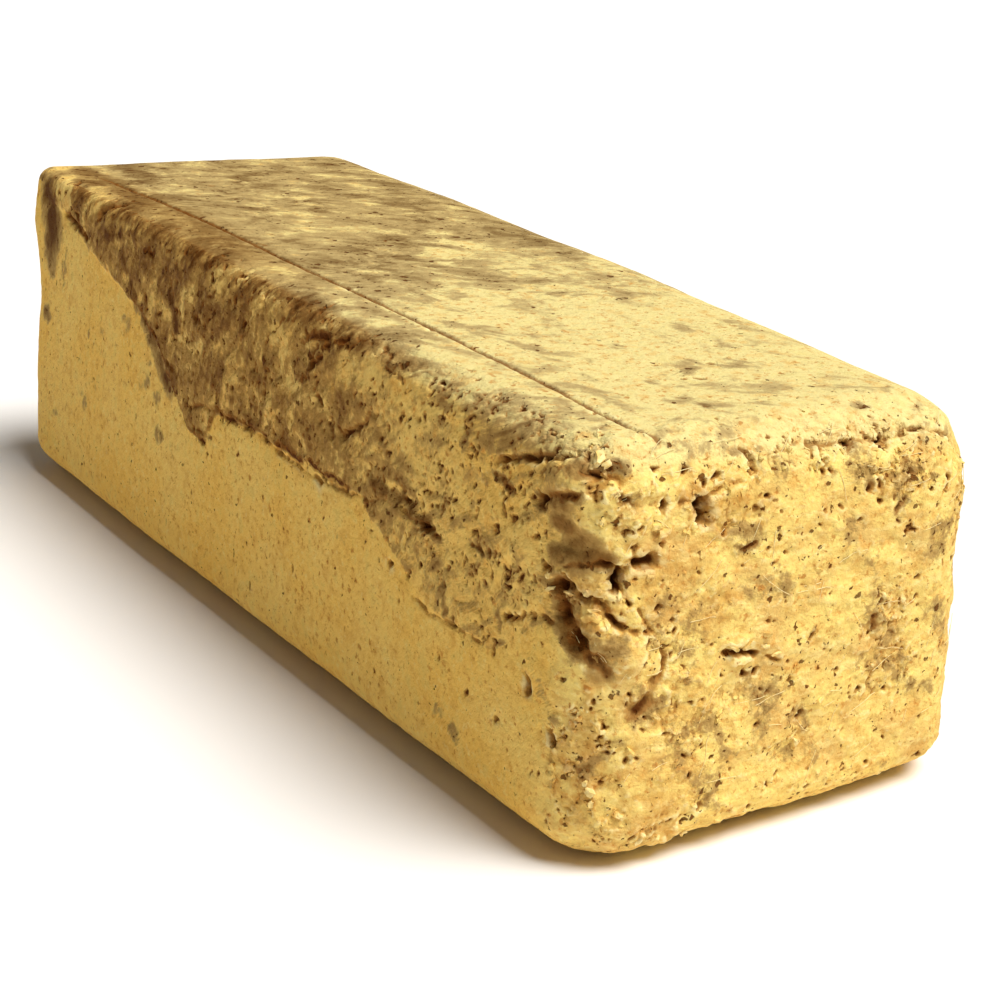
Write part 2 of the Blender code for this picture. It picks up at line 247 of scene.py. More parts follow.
# Holes that show one by one, for each face by their radius, as places on that face: along and
# across the top, along and up the side, across and up the torn end.
HOLES = {
    "end": {
        1.5: [(-22.5, 70), (-21.5, 67), (-38.5, 59.5), (12.5, 76), (20.5, 75)],
        1.1: [(-30, 71.5), (-10.5, 74.5), (-39.5, 56.5), (35.5, 66.5), (16, 67.5), (-25.5, 76.5),
              (-19, 74.5)],
        0.9: [(-31, 77.5), (-35, 61), (-37, 53.5), (-31, 52), (-19, 10.5), (20.5, 77.5), (-38, 67),
              (-36, 63.5), (-10.5, 35.5), (24, 64), (20, 80), (26, 69), (35, 64.5)],
        0.7: [(-11, 77.5), (-11, 75.5), (-22.5, 57.5), (-30.5, 63.5), (-33.5, 60.5), (-6, 45),
              (-2.5, 58), (-36, 36), (-32, 31), (-42, 33), (-40.5, 33), (-28.5, 27), (-16, 36),
              (-7, 24.5), (17.5, 76), (6.5, 75.5), (36, 74), (39, 72), (27.5, 66), (18.5, 65),
              (32.5, 61.5), (40, 48), (36.5, 49), (7, 72), (6, 65), (9, 65), (1.5, 51), (23, 43.5),
              (19, 38), (4.5, 40), (28, 34), (29, 32), (24, 29.5), (25, 24.5), (17.5, 26),
              (2, 25.5), (23, 9), (-6, 56), (37, 62), (22, 64.5), (23, 62.5)],
        0.5: [(-16, 65), (-12.5, 57), (-38, 52), (-26, 51), (-35.5, 57.5), (-30, 57), (-30, 48.5),
              (-21.5, 47.5), (-27.5, 42.5), (-24, 42.5), (-24.5, 40), (-2.5, 48.5), (-4, 54.5),
              (-4.5, 62), (-36, 34.5), (-22.5, 32.5), (-20.5, 32), (-6.5, 31), (-10.5, 29.5),
              (-9, 27.5), (-20, 25), (-15.5, 24.5), (-14, 23), (-17.5, 20.5), (-16, 19), (-4.5, 19),
              (-13, 17.5), (-40, 19), (-37.5, 20), (19.5, 74), (16.5, 77), (35.5, 70.5), (30, 70.5),
              (29, 68.5), (24, 69.5), (34.5, 68.5), (18, 68.5), (23, 60), (28.5, 62.5), (32, 56.5),
              (5, 62.5), (16, 56.5), (25, 47), (26.5, 42), (25, 38), (8, 37), (9.5, 36), (5.5, 20.5),
              (13, 18.5), (2.5, 17), (39.5, 12.5), (0.5, 47)],
    },
    "side": {
        1.0: [(135.5, 25.5)],
        0.9: [(-25, 67), (14, 59), (47, 60), (107, 60.5), (74, 39.5), (82.5, 72), (86.5, 51.5),
              (78.5, 54), (85.5, 56), (115, 55), (138.5, 20.5), (118.5, 44), (124.5, 46)],
        0.6: [(3, 70), (67.5, 64), (79, 69.5), (123.5, 63.5), (88, 47), (96, 43), (100, 36),
              (106, 72.5), (96, 70), (116.5, 64), (115, 35), (122, 45.5), (118.5, 38), (107, 49.5),
              (42, 65), (-51, 58), (41, 54.5), (27.5, 51), (81.5, 57), (89.5, 54), (74.5, 57.5),
              (68.5, 58), (65, 68.5), (58.5, 63), (62.5, 66), (54.5, 61), (74.5, 39.5), (86.5, 43.5),
              (88, 47), (121, 44.5), (128, 47),
              (141, 20), (139.5, 22), (104.5, 46), (93, 44), (99, 50), (110, 41), (113, 46)],
        0.45: [(-14, 51.5), (-10, 52), (-6.5, 53), (-3, 51.5), (1, 52.5), (4, 54), (7, 52), (10.5, 53.5),
               (12.5, 56), (15, 52), (17.5, 54), (20, 51), (23, 53), (9, 56.5), (14, 58), (18.5, 57),
               (27, 55), (33, 53), (37, 56), (-20, 49.5), (-25, 52), (-29, 47), (-33, 53), (62, 54),
               (65, 55.5), (67, 53), (69, 56), (70.5, 52.5), (72.5, 55), (74, 53), (76, 56.5),
               (77, 52), (79, 54.5), (81, 52.5), (83, 55), (84.5, 51.5), (86, 53.5), (88, 51),
               (89.5, 49.5), (80, 57.5), (75, 59), (70, 58.5), (66, 58), (84, 57.5)],
    },
    "top": {
        0.9: [(40.5, -25.5), (59.5, -31.5), (-98, -35.5), (127.5, -30.5)],
        0.7: [(103.5, 14), (109, 0), (108, -10), (126.5, -9.5), (134.5, 20), (92, -14), (23, -31.5)],
        0.5: [(123, -3), (120.5, -10.5), (128, 30.5), (135, 32.5), (85, -3.5), (131.5, -35),
              (6, -37.5)],
    },
}

# Strokes of cocoa marbling, for each face: how dark, half-width, and the places they run through,
# on that face or in space.
STROKES = {
    "top": [
        # far half
        (0.95, 5, [(-129.5, -24), (-106.5, -26)]),
        (0.8, 3.5, [(-117, -19), (-98, -30.5)]),
        (0.6, 3, [(-133.5, -0.5), (-131, -11)]),
        (0.5, 3, [(-104.5, -1.5), (-90.5, -7.5)]),
        (0.4, 2.5, [(-120.5, 9), (-113, 7)]),
        (0.5, 2.5, [(-117, 36.5), (-85.5, 37)]),
        (0.4, 2.5, [(-90, 28.5), (-74.5, 27)]),
        (0.5, 2, [(-86.5, -13.5), (-76, -17.5)]),
        (0.45, 5, [(-80.5, 0.5), (-58, -2)]),
        (0.4, 4, [(-70, -7.5), (-59.5, -16)]),
        (0.45, 3, [(-74, 20), (-60.5, 12)]),
        (0.5, 2.5, [(-51, 34), (-47, 34)]),
        (0.4, 4, [(-46.5, 22), (-34.5, 19.5)]),
        (0.35, 3, [(-28, 4), (-20, 4)]),
        (0.45, 3, [(-20.5, 29.5), (-13, 32.5)]),
        (0.5, 4, [(-18, 14.5), (-8, 4.5)]),
        (0.55, 4, [(-18, 0), (-7.5, -8)]),
        (0.5, 4, [(-9.5, -10), (7.5, -16)]),
        (0.45, 3, [(-2.5, -20), (5, -26)]),
        (0.4, 3, [(5, 2), (14, -3)]),
        (0.5, 4, [(16.5, 13.5), (29.5, 7.5)]),
        (0.4, 3, [(19, 32.5), (9, 32.5)]),
        # near half
        (0.5, 3.5, [(48, 17.5), (38, -2), (35, -12)]),
        (0.4, 3, [(31.5, 11.5), (31.5, 4)]),
        (0.35, 5, [(32.5, -15), (47, -18)]),
        (0.6, 2.4, [(48, -26), (64, -24.5), (79.5, -20.5), (88, -17)]),
        (0.65, 1.5, [(17.5, -5.5), (28.5, -3.5), (37.5, 1.5), (43, 7)]),
        (0.5, 3, [(-1, -13), (3, -10), (8, -5)]),
        (0.5, 1.5, [(75, 31), (77, 29)]),
        (0.4, 2, [(74.5, 26), (74.5, 24)]),
        (0.5, 1.5, [(73.5, 18.5), (79.5, 17)]),
        (0.4, 1.8, [(65, 12.5), (68, 10)]),
        (0.4, 1.5, [(71, 5.5), (78, 2)]),
        (0.35, 2.5, [(82.5, 10), (84.5, 8)]),
        (0.55, 1.3, [(84, -2.5), (85, -4.5)]),
        (0.6, 1.5, [(100, 13.5), (105, 11.5)]),
        (0.7, 1.2, [(103, 14.5), (106, 10.5)]),
        (0.7, 2, [(99.5, 3.5), (106.5, -0.5)]),
        (0.6, 1, [(108, 0.5), (110, -0.5)]),
        (0.4, 2.5, [(104.5, -4.5), (110.5, -7)]),
        (0.7, 1.2, [(107.5, -9), (108.5, -10)]),
        (0.6, 1, [(122, -2), (124, -4)]),
        (0.75, 1.2, [(125, -9), (127, -10)]),
        (0.5, 1, [(119.5, -9), (121.5, -11)]),
        (0.4, 2, [(127.5, 7), (128.5, 3)]),
        (0.8, 1.3, [(134, 20.5), (134.5, 19.5)]),
        (0.7, 0.9, [(127.5, 31.5), (129, 29)]),
        (0.6, 1, [(134.5, 33.5), (135.5, 32)]),
        (0.6, 1.2, [(90, -13.5), (93, -14)]),
        (0.4, 1.3, [(93.5, -25), (98.5, -26.5)]),
        (0.45, 1, [(118, -24.5), (121, -26)]),
        (0.4, 1.4, [(131.5, -20.5), (134.5, -22.5)]),
        (0.5, 1.5, [(136.5, -24), (138.5, -27)]),
        # the strip between the crease and the shoulder
        (0.5, 1.2, [(47.5, -36.5), (52.5, -39.5)]),
        (0.6, 2, [(60.5, -37.5), (70.5, -41)]),
        (0.5, 2, [(113, -34.5), (121, -38)]),
        (0.7, 1, [(131, -34.5), (132, -35.5)]),
        (0.55, 2, [(105, -39.5), (107.5, -41.5)]),
        (0.7, 1, [(3, -36.5), (8, -37.5)]),
    ],
    "side": [
        # far corner
        (1.1, 4.0, [(-132, -46, 77), (-127, -46, 75), (-128, -46.5, 71)]),
        (1.15, 4.6, [(-128, -46.5, 71), (-125.5, -46.5, 68), (-127, -47, 63.5)]),
        (0.35, 1.8, [(-117, -47, 66), (-116, -47, 60), (-117.5, -47.5, 52.5)]),
        (0.75, 2.3, [(-128, -47, 60), (-125, -47, 57.5)]),
        (0.85, 1.8, [(-128.5, -47.5, 45), (-126, -48, 44)]),
        (0.95, 2.6, [(-116, -44.5, 81), (-111, -44.5, 81), (-104, -45.5, 80), (-107, -46.5, 78)]),
        (1.0, 1.3, [(-116.5, -46.5, 74), (-110.5, -46.5, 73), (-104, -46.5, 71.5), (-99.5, -47, 69.5)]),
        (0.9, 0.9, [(-109.5, -46.5, 76.5), (-105.5, -46.5, 74), (-102.5, -46.5, 72)]),
        (0.9, 1.0, [(-93, -46.5, 76), (-88.5, -46, 79.5), (-86.5, -44.5, 81.5), (-90, -41, 82.5)]),
        (0.85, 2.0, [(-85, -47, 74), (-73.5, -46.5, 77), (-63.5, -46.5, 78)]),
        (0.35, 1.1, [(-97.5, -47.5, 62), (-96, -47.5, 57)]),
        (0.3, 1.2, [(-95, -47.5, 52), (-95.5, -48, 47)]),
        (0.35, 0.9, [(-70.5, -48, 56), (-71.5, -48, 51)]),
        (0.6, 1, [(-138, 17.5), (-135.5, 17.5)]),
        (0.45, 1.2, [(-129, 12.5), (-124, 15.5)]),
        (0.5, 1, [(-118.5, 19.5), (-112.5, 20.5)]),
        # in the band
        (0.95, 1.1, [(-57.5, 76), (-53, 76)]),
        (0.8, 2.5, [(-73.5, 73), (-68, 68), (-62, 63)]),
        (0.8, 2.5, [(-62, 63), (-55.5, 59), (-50.5, 54.5)]),
        (0.85, 2.2, [(-50.5, 54.5), (-46.5, 51), (-41.5, 46.5)]),
        (0.95, 2.4, [(-42, 69), (-39, 66), (-36.5, 62.5)]),
        (0.95, 1.0, [(-24, 67.5), (-23, 67.5)]),
        (0.8, 0.7, [(-14.5, 76), (-20, 72.5), (-22.5, 69.5)]),
        (0.72, 4.5, [(-35, -45, 81), (-24, -43.5, 81.5)]),
        (0.70, 3.5, [(-32, -42.5, 82), (-24, -46, 79)]),
        (0.6, 1.6, [(-2.5, -45.5, 80), (0, -43.5, 81.5), (6, -43.5, 81.5)]),
        (0.85, 0.7, [(31.5, 77.5), (32.5, 75.5), (35, 73.5), (39.5, 72)]),
        (0.58, 3.6, [(20, -42.5, 82), (34, -43, 81.5), (50, -43, 81.5), (62, -42.8, 81.5),
                     (76, -43, 81.2)]),
        (0.7, 1.2, [(62, -43.5, 81), (70, -44.5, 79.5), (74, -45.5, 77)]),
        (0.85, 1.6, [(34, -46.5, 77), (41, -45.5, 78.5)]),
        (0.75, 1.4, [(37.5, -46.5, 75), (35.5, -47, 69)]),
        (0.55, 1.8, [(67, -45, 79), (79.5, -44.5, 79)]),
        (0.9, 1.3, [(41, -46.5, 76.5), (43, -46, 77.5)]),
        (1.0, 1.3, [(48, -46, 78), (49.5, -44.5, 80)]),
        (0.8, 0.9, [(39.5, 65.5), (42, 65)]),
        (0.85, 1.1, [(46, 61), (48, 59.5)]),
        (0.7, 0.8, [(-17.5, 48.5), (-10.5, 49.5), (-2.5, 50), (7.5, 50)]),
        (0.9, 0.9, [(-52, 58), (-50, 58)]),
        (0.7, 1.2, [(-42, 53), (-34.5, 51)]),
        (0.6, 3, [(-31, 80.5), (-22, 81.5)]),
        (0.8, 0.8, [(8, 79.5), (11.5, 77)]),
        (0.7, 0.8, [(13, 72), (20.5, 77), (26, 78.5)]),
        (0.6, 2.5, [(11.5, 55.5), (17.5, 52.5)]),
        (0.6, 1.5, [(-11.5, 53.5), (-2.5, 53.5)]),
        (0.8, 1, [(30.5, 75), (33, 77)]),
        (0.85, 1, [(32, 67), (35.5, 71), (40.5, 74)]),
        (0.95, 1, [(42, 77), (50, 79.5)]),
        (0.75, 0.9, [(-24, 41.5), (-15, 41.5)]),
        (0.6, 1, [(54, 54), (54, 51)]),
        # below the band
        (0.32, 1.0, [(-90, -47.5, 57), (-87, -48, 52.5), (-84, -48, 47)]),
        (0.4, 0.8, [(-67.5, 57), (-67.5, 54)]),
        (0.5, 1.3, [(-61, 39), (-58, 43), (-53, 46)]),
        (0.6, 0.7, [(-54, 49), (-52, 49.5)]),
        (0.5, 2, [(-48.5, 42), (-46.5, 42)]),
        (0.5, 1, [(-49.5, 35.5), (-47.5, 35.5)]),
        (0.6, 1.2, [(-46.5, 33.5), (-44.5, 33.5)]),
        (0.5, 1, [(-38, 31.5), (-36, 31.5)]),
        (0.45, 1.3, [(-98, 30), (-93.5, 27)]),
        (0.3, 1.5, [(-90.5, 35), (-87.5, 35)]),
        (0.4, 0.8, [(-40.5, 13.5), (-40, 21.5)]),
        (0.5, 1, [(49.5, 38), (53.5, 39)]),
        # near the torn end
        (0.5, 2, [(66, 77.5), (73, 80)]),
        (0.72, 1.7, [(67, 53.5), (77.5, 54.5), (87.5, 51.5)]),
        (0.68, 1.7, [(73, 58), (82.5, 57)]),
        (0.5, 1.5, [(92.5, 47), (91, 45)]),
        (0.6, 1.1, [(95.5, 42.5), (96.5, 39.5), (97, 37)]),
        (0.4, 1.4, [(103.5, 46.5), (107.5, 49.5), (111.5, 47.5)]),
        (0.9, 1.2, [(86.5, 51.5), (89.5, 51.5), (93, 51)]),
        (0.7, 0.8, [(105, 53.5), (109.5, 53.5), (115.5, 55)]),
        (0.38, 0.9, [(116, 43), (117, 38.5)]),
        (0.35, 1.2, [(128, 38.5), (131.5, 34), (135.5, 29.5)]),
        (0.4, 1.5, [(96, 16), (99.5, 14.5), (102.5, 13)]),
        (0.6, 1.5, [(100.5, 72.5), (102, 74.5)]),
        (0.5, 1.5, [(86.5, 79), (92.5, 76.5)]),
        (0.8, 1.2, [(113, 69.5), (119, 68.5)]),
        (0.95, 1, [(118.5, 74.5), (121.5, 75)]),
        (0.95, 0.6, [(125, 77.5), (126.5, 78.5)]),
        (0.4, 2, [(109, 78), (116.5, 77)]),
        (0.9, 1.2, [(128, 69.5), (133.5, 71.5), (139.5, 73)]),
        (0.9, 2.6, [(135.5, -46.5, 54.5), (137, -46, 49.5), (139, -46, 46), (141, -44.5, 44.3)]),
    ],
    "end": [
        # upper part
        (0.5, 2.2, [(-13.5, 63.5), (-8.5, 61.5)]),
        (0.8, 1, [(-13.5, 60.5), (-9.5, 60.5)]),
        (0.55, 1.2, [(-29, 80.5), (-16.5, 78), (-12.5, 77.5)]),
        (0.45, 2, [(-8, 78.5), (-5.5, 76.5), (-4, 74.5)]),
        (0.45, 2.5, [(-9, 53.5), (-4, 52.5)]),
        (0.3, 3, [(-27.5, 52.5), (-22, 47.5)]),
        (0.35, 2.2, [(13, 74.5), (12, 71)]),
        (0.5, 1.3, [(16, 71.5), (16.5, 69)]),
        (0.35, 1.5, [(4.5, 73), (5.5, 73)]),
        (0.65, 1.5, [(22.5, 69), (22.5, 65)]),
        (0.35, 2.5, [(22, 70.5), (25.5, 69.5)]),
        (0.6, 0.8, [(31.5, 67.5), (32, 66)]),
        (0.8, 1.5, [(22.5, 62), (24, 64)]),
        (0.3, 2.5, [(12, 59.5), (11.5, 55.5)]),
        (0.7, 1.8, [(34, 57.5), (36.5, 56.5)]),
        (0.5, 1.8, [(33, 52), (35.5, 51.5)]),
        (0.35, 1.5, [(16.5, 52.5), (18.5, 52.5)]),
        (0.4, 1.2, [(18.5, 49), (19.5, 49)]),
        (0.95, 1, [(-41, 79), (-37.5, 78.5)]),
        (0.9, 1, [(-39, 73.5), (-36.5, 72.5)]),
        # middle
        (0.35, 2.5, [(-32, 48.5), (-28, 44.5)]),
        (0.4, 2.5, [(-26, 42.5), (-22.5, 39.5)]),
        (0.85, 2, [(-42.5, 47), (-41.5, 41.5), (-39, 46)]),
        (0.75, 2, [(-34.5, 35.5), (-31.5, 33.5), (-33.5, 31.5)]),
        (0.45, 2.5, [(36, 39.5), (38, 36), (40, 32.5)]),
        (0.5, 2.5, [(19.5, 44), (20, 39), (24, 36)]),
        (0.85, 1.5, [(20, 41), (20, 39)]),
        (0.5, 3, [(19, 33), (24.5, 31), (27.5, 27.5)]),
        (0.6, 1, [(4, 40), (5, 41.5)]),
        # lower part
        (0.5, 1.5, [(-41.5, 21.5), (-38, 26)]),
        (0.45, 3, [(-8, 35), (-5, 29.5)]),
        (0.4, 3, [(-21, 16.5), (-17, 12.5)]),
        (0.5, 1, [(-17.5, 10), (-15, 8.5)]),
        (0.3, 3, [(-28, 23), (-21, 27)]),
        (0.35, 2, [(-16, 19.5), (-13, 18.5)]),
        (0.5, 1.3, [(-6, 23.5), (-4.5, 19.5)]),
        (0.35, 3, [(-0.5, 17), (6, 16)]),
        (0.7, 2, [(2.5, 23.5), (4.5, 21)]),
        (0.6, 1.6, [(32, 23.5), (37.5, 22)]),
        (0.35, 2, [(13, 8), (17, 6.5)]),
        (0.45, 2.2, [(-19, 27.5), (-16.5, 24), (-14, 20)]),
        (0.4, 1.2, [(25.5, 8), (28, 7.5)]),
    ],
}

# Pale streaks with little cocoa, in the band and over the shoulder: how pale, half-width, places.
PALE_STREAKS = [
    (0.9, 2.4, [(-124, -43.5, 81.5), (-118, -45.5, 79.5), (-115, -46.5, 76.5)]),
    (0.8, 2.4, [(-139, -38, 82), (-135, -41, 82)]),
    (0.6, 3.0, [(-105.5, -42.5, 82), (-97, -43, 82), (-91, -43, 82)]),
    (0.5, 2.0, [(-100, -45.5, 80), (-94, -45.5, 80)]),
    (0.7, 1.3, [(-5, -44.5, 81), (-5.5, -40.5, 82.5), (-3, -37.5, 82.5), (5, -37.5, 82.5)]),
    (0.5, 3.0, [(18.5, -46.5, 75.5), (21.5, -47, 72), (24.5, -47, 69)]),
    (0.5, 2.5, [(25.5, -47.5, 58.5), (31, -48, 54)]),
    (0.6, 1.2, [(50, -46.5, 76), (52, -46.5, 71)]),
    (0.5, 1.6, [(57, -43.5, 81), (60, -42, 82)]),
    (0.6, 3.0, [(76, -46, 76), (82, -47, 64)]),
    (0.5, 2.5, [(96, -46, 76), (100, -47, 62)]),
    (0.4, 1.8, [(20, -39, 82), (40, -38, 82)]),
    (0.7, 3.0, [(75, -38, 82), (104, -36, 82)]),
    (0.5, 6.0, [(-8, 12, 82), (8, 16, 82), (25, 13, 82)]),
]

# Pale flakes that stand off the torn end: place and half-sizes.
FLAKES = [
    ((139.5, -41.5, 80), (2.6, 1.6, 1.2)),
    ((141.5, -40.5, 79), (1.6, 1.0, 0.9)),
    ((132.8, -46.5, 56.5), (1.2, 0.8, 0.5)),
    ((133.6, -46.5, 54.5), (0.7, 1.4, 0.5)),
    ((145.5, -14, 41.8), (2.0, 0.9, 0.5)),
    ((145.5, -10.5, 41.2), (2.4, 0.8, 0.5)),
    ((145.5, -7, 40), (1.6, 0.7, 0.5)),
    ((145.5, -4, 38.2), (1.8, 0.6, 0.5)),
    ((145.5, -12, 38.4), (1.6, 0.6, 0.4)),
    ((143.5, -43, 16.5), (1.8, 1.3, 1.0)),
    ((143.8, -42, 14.5), (1.2, 0.9, 0.8)),
    ((143.2, -43.5, 18.5), (1.0, 0.8, 0.7)),
    ((144, -32, 6.5), (2.2, 1.2, 1.0)),
    ((143.5, -28, 5.5), (1.6, 1.3, 1.0)),
    ((142, -21, 4), (1.2, 0.9, 0.7)),
]

# The dark cavity down the near upright edge, which sugar threads bridge: middle and reach.
CAVITY = (139.0, -45.5, 47.5)
CAVITY_REACH = 5.5

# Loose and small things: how many there are, the seeds of their draws, and the pebbles that
# crumbs and flakes are copied from.
SMALL_HOLES, HOLE_SEED = 2000, 5
CRUMBS, CRUMB_SEED, CRUMB_SHAPES = 420, 8, 6
FLAKE_SEED, FLAKE_SHAPES = 3, 5
RAGGEDNESS = 0.9
FLAKE_SIZE = 0.6

# Sugar threads: how many lie on the torn end and bridge the cavity, then in mm their radius, the
# step between their points, how far they lie off the skin, and how one runs over the cavity.
THREADS_ON_END, THREADS_OVER_CAVITY, THREAD_SEED = 75, 6, 12
THREAD_RADIUS = 0.065
THREAD_STEP = 1.1
THREAD_GAP = 0.08
CAVITY_RUN = (2.2, 1.2, -3.4)
CAVITY_THREAD_POINTS = 5

# Raggedness of the paste, in mm: the size of the fine pushes, how far they move edges, and how
# far crumbled and toasted patches wander.
PUSH_SIZE = 2.4
PUSH = 0.9
PATCH_SIZE = 4
PATCH_WANDER = 4.0

# The layers that the halva was pulled in: how far they run aside with Y, and their swirls in mm.
STRAND_SKEW = 0.45
SWIRL_SIZE = 24
SWIRL = 5.0

# What the skin's mesh stores at each point for its material, three values under each name in
# ATTRIBUTES in turn: cocoa, with painted shade in the crease and the smears, how strongly its
# strands show, and how hollow it is, which the material darkens as painted shade; browner, which
# also carries the painted shade of the smears, the painted sheen of the top, and torn; the place
# along the layers; toasted, crumbled, and how far it stands out, from which the material paints
# highlights on rims and shade in dips.
ATTRIBUTES = ("marbling_and_shade", "regions", "strands", "wear_and_relief_light")

# The base: points lower than the first height are pressed flat, and the relief is whole from the
# second one up, in mm. Loose bits stay so far inside the loaf's box, in metres.
BASE_PRESSED = 0.3
FLAT_BASE_HEIGHT = 3.0
BOX_MARGIN = 0.0001

# Camera, in metres: place, point it looks at, roll and lens.
CAMERA_PLACE = Vector((0.4816, -0.25515, 0.2073))
CAMERA_AIM = Vector((0.053, -0.01135, 0.04215))
CAMERA_ROLL = math.radians(1.3)
LENS_MM = 87.91

# Light and floor: the lamp's strength, its breadth and the way to it, the light of the room
# itself, the floor's size and the gap under the loaf, in metres.
LAMP_STRENGTH = 4.1
LAMP_BREADTH = math.radians(34.0)
TO_LAMP = Vector((0.42, 0.25, 0.87))
ROOM_LIGHT = 0.10
FLOOR_SIZE = 30.0
FLOOR_GAP = 0.0002


# ---------------------------------------------------------------- sums

def rise(value, low, high):
    """Smooth step from 0 at low to 1 at high."""
    t = np.clip((value - low) / (high - low), 0.0, 1.0)
    return t * t * (3.0 - 2.0 * t)


def falloff(gap, reach, power=2):
    """1 where there is no gap, fading to 0 past the reach, the more sharply the higher the power."""
    return np.exp(-(gap / reach) ** power)


def fractal(points, seed, octaves=3):
    """Fractal noise at each point, about -1 to 1, with lumps of about one unit. Each seed reads
    another part of the same noise."""
    shift = Vector((7.3, 3.1, 5.7)) * seed
    return np.array([noise.fractal(Vector(p) + shift, 1.0, 2.0, octaves) for p in points])


def blobs(places, shapes):
    """How much each point lies in any of the soft ellipsoids."""
    most = np.zeros(len(places))
    for amount, sizes, middle in shapes:
        reach = np.linalg.norm((places - middle) / sizes, axis=1)
        most = np.maximum(most, amount * np.clip(1.3 - 1.3 * reach ** 2, 0.0, 1.0))
    return most


def distance_to_line(points, line):
    """Distance from each point to a line of straight runs, of which one may have no length."""
    nearest = np.full(len(points), np.inf)
    for start, end in zip(line[:-1], line[1:]):
        run = end - start
        along = np.clip((points - start) @ run / max(run @ run, 1e-9), 0.0, 1.0)
        gap = np.linalg.norm(points - start - along[:, None] * run, axis=1)
        nearest = np.minimum(nearest, gap)
    return nearest


def nearest_index(points, place):
    """The number of the point nearest to a place."""
    return np.argmin(np.sum((points - place) ** 2, axis=1))


def search_tree(points):
    """A tree that finds the points near to a place quickly."""
    tree = KDTree(len(points))
    for index, point in enumerate(points):
        tree.insert(point, index)
    tree.balance()
    return tree


def strand_lean(x):
    """How far along the loaf the layers lean for each mm of height."""
    return 0.25 + rise(x, 40, 115)


def strand_places(points):
    """Each point's place across and along the layers that the halva was pulled in, in mm."""
    x, y, z = points.T
    across = x - STRAND_SKEW * y - strand_lean(x) * (z - 0.75 * HEIGHT)
    swirls = np.stack([fractal(points / SWIRL_SIZE, seed) for seed in (11, 13, 14)], axis=1)
    return np.stack([across, y, z], axis=1) + SWIRL * swirls


# ---------------------------------------------------------------- meshes

def apply_modifier(obj, kind, **settings):
    """Adds one modifier and applies it."""
    modifier = obj.modifiers.new(kind.title(), kind)
    for name, value in settings.items():
        setattr(modifier, name, value)
    bpy.ops.object.modifier_apply(modifier=modifier.name)


def read_points(mesh):
    """The mesh's points and normals as arrays."""
    points = np.empty(len(mesh.vertices) * 3, np.float32)
    mesh.vertices.foreach_get("co", points)
    normals = np.empty(len(mesh.vertices) * 3, np.float32)
    mesh.vertex_normals.foreach_get("vector", normals)
    return points.reshape(-1, 3).astype(float), normals.reshape(-1, 3).astype(float)


def write_points(mesh, points, margin=0.0):
    """Moves the mesh's points to new places, no nearer than the margin to the loaf's box."""
    inside = np.clip(points, np.array(cad_low) + margin, np.array(cad_high) - margin)
    mesh.vertices.foreach_set("co", inside.astype(np.float32).ravel())
    mesh.update()


def add_attribute(mesh, name, values):
    """Stores three values for each point of the mesh."""
    attribute = mesh.attributes.new(name, "FLOAT_VECTOR", "POINT")
    attribute.data.foreach_set("vector", values.astype(np.float32).ravel())


def read_attribute(mesh, name):
    """The three values that are stored for each point of the mesh."""
    values = np.empty(len(mesh.vertices) * 3, np.float32)
    mesh.attributes[name].data.foreach_get("vector", values)
    return values.reshape(-1, 3)


def smooth_block():
    """The smooth block: a hull over balls in its corners and along its long edges."""
    bpy.ops.object.select_all(action="DESELECT")
    balls = {}
    for side, moved, radius, tallness in CORNERS:
        corner = np.array(side) * (LENGTH / 2, WIDTH / 2, HEIGHT) + moved
        inward = np.array((side[0], side[1], 1 if side[2] else -1)) * (radius, radius, radius * tallness)
        balls[side] = (corner - inward, radius, tallness)
    every = list(balls.values())
    for side in (-1, 1):
        for top in (0, 1):
            far, near = balls[(-1, side, top)], balls[(1, side, top)]
            for step in range(1, LONG_EDGE_BALLS + 1):
                u = step / (LONG_EDGE_BALLS + 1)
                swell = np.array((0, side * SIDE_SWELL, top * TOP_SWELL)) * 4 * u * (1 - u)
                middle, radius, tallness = [a * (1 - u) + b * u for a, b in zip(far, near)]
                every.append((middle + swell, radius, tallness))
    made = []
    for middle, radius, tallness in every:
        bpy.ops.mesh.primitive_ico_sphere_add(subdivisions=4, radius=radius, location=middle)
        bpy.context.object.scale[2] = tallness
        made.append(bpy.context.object)
    for ball in made:
        ball.select_set(True)
    bpy.ops.object.join()
    bpy.ops.object.transform_apply(location=True, rotation=True, scale=True)
    bpy.ops.object.mode_set(mode="EDIT")
    bpy.ops.mesh.select_all(action="SELECT")
    bpy.ops.mesh.convex_hull(delete_unused=True, use_existing_faces=False, make_holes=False,
                             join_triangles=False)
    bpy.ops.object.mode_set(mode="OBJECT")
    return bpy.context.object


def refine_rough_parts(loaf):
    """Halves the mesh's step over the torn end, the dark band and the crease, where the relief is
    finest."""
    mesh = loaf.data
    bpy.ops.object.mode_set(mode="EDIT")
    bpy.ops.mesh.select_mode(type="FACE")
    bpy.ops.mesh.select_all(action="DESELECT")
    bpy.ops.object.mode_set(mode="OBJECT")
    middles = np.empty(len(mesh.polygons) * 3, np.float32)
    mesh.polygons.foreach_get("center", middles)
    x, y, z = middles.reshape(-1, 3).T
    edge = np.interp(x, BAND_EDGE_X, BAND_EDGE_Z) - FINE_BELOW_BAND
    crease = np.array(CREASE[2])
    off_crease = np.abs(y - np.interp(x, crease[:, 0], crease[:, 1]))
    fine = ((x > FINE_FROM_X) & (z > 1.0)) | ((z > edge) & (y < -0.42 * WIDTH))
    fine |= (z > 78.0) & (off_crease < FINE_BY_CREASE)
    mesh.polygons.foreach_set("select", fine)
    bpy.ops.object.mode_set(mode="EDIT")
    bpy.ops.mesh.subdivide(number_cuts=1)
    bpy.ops.object.mode_set(mode="OBJECT")


# ---------------------------------------------------------------- the skin's relief
#
# From here on, rise(x, a, b) lets a thing grow from a to b mm along the loaf, or fade with a minus
# before it. The numbers beside it are strengths: mm of height, or shares from 0 to 1.

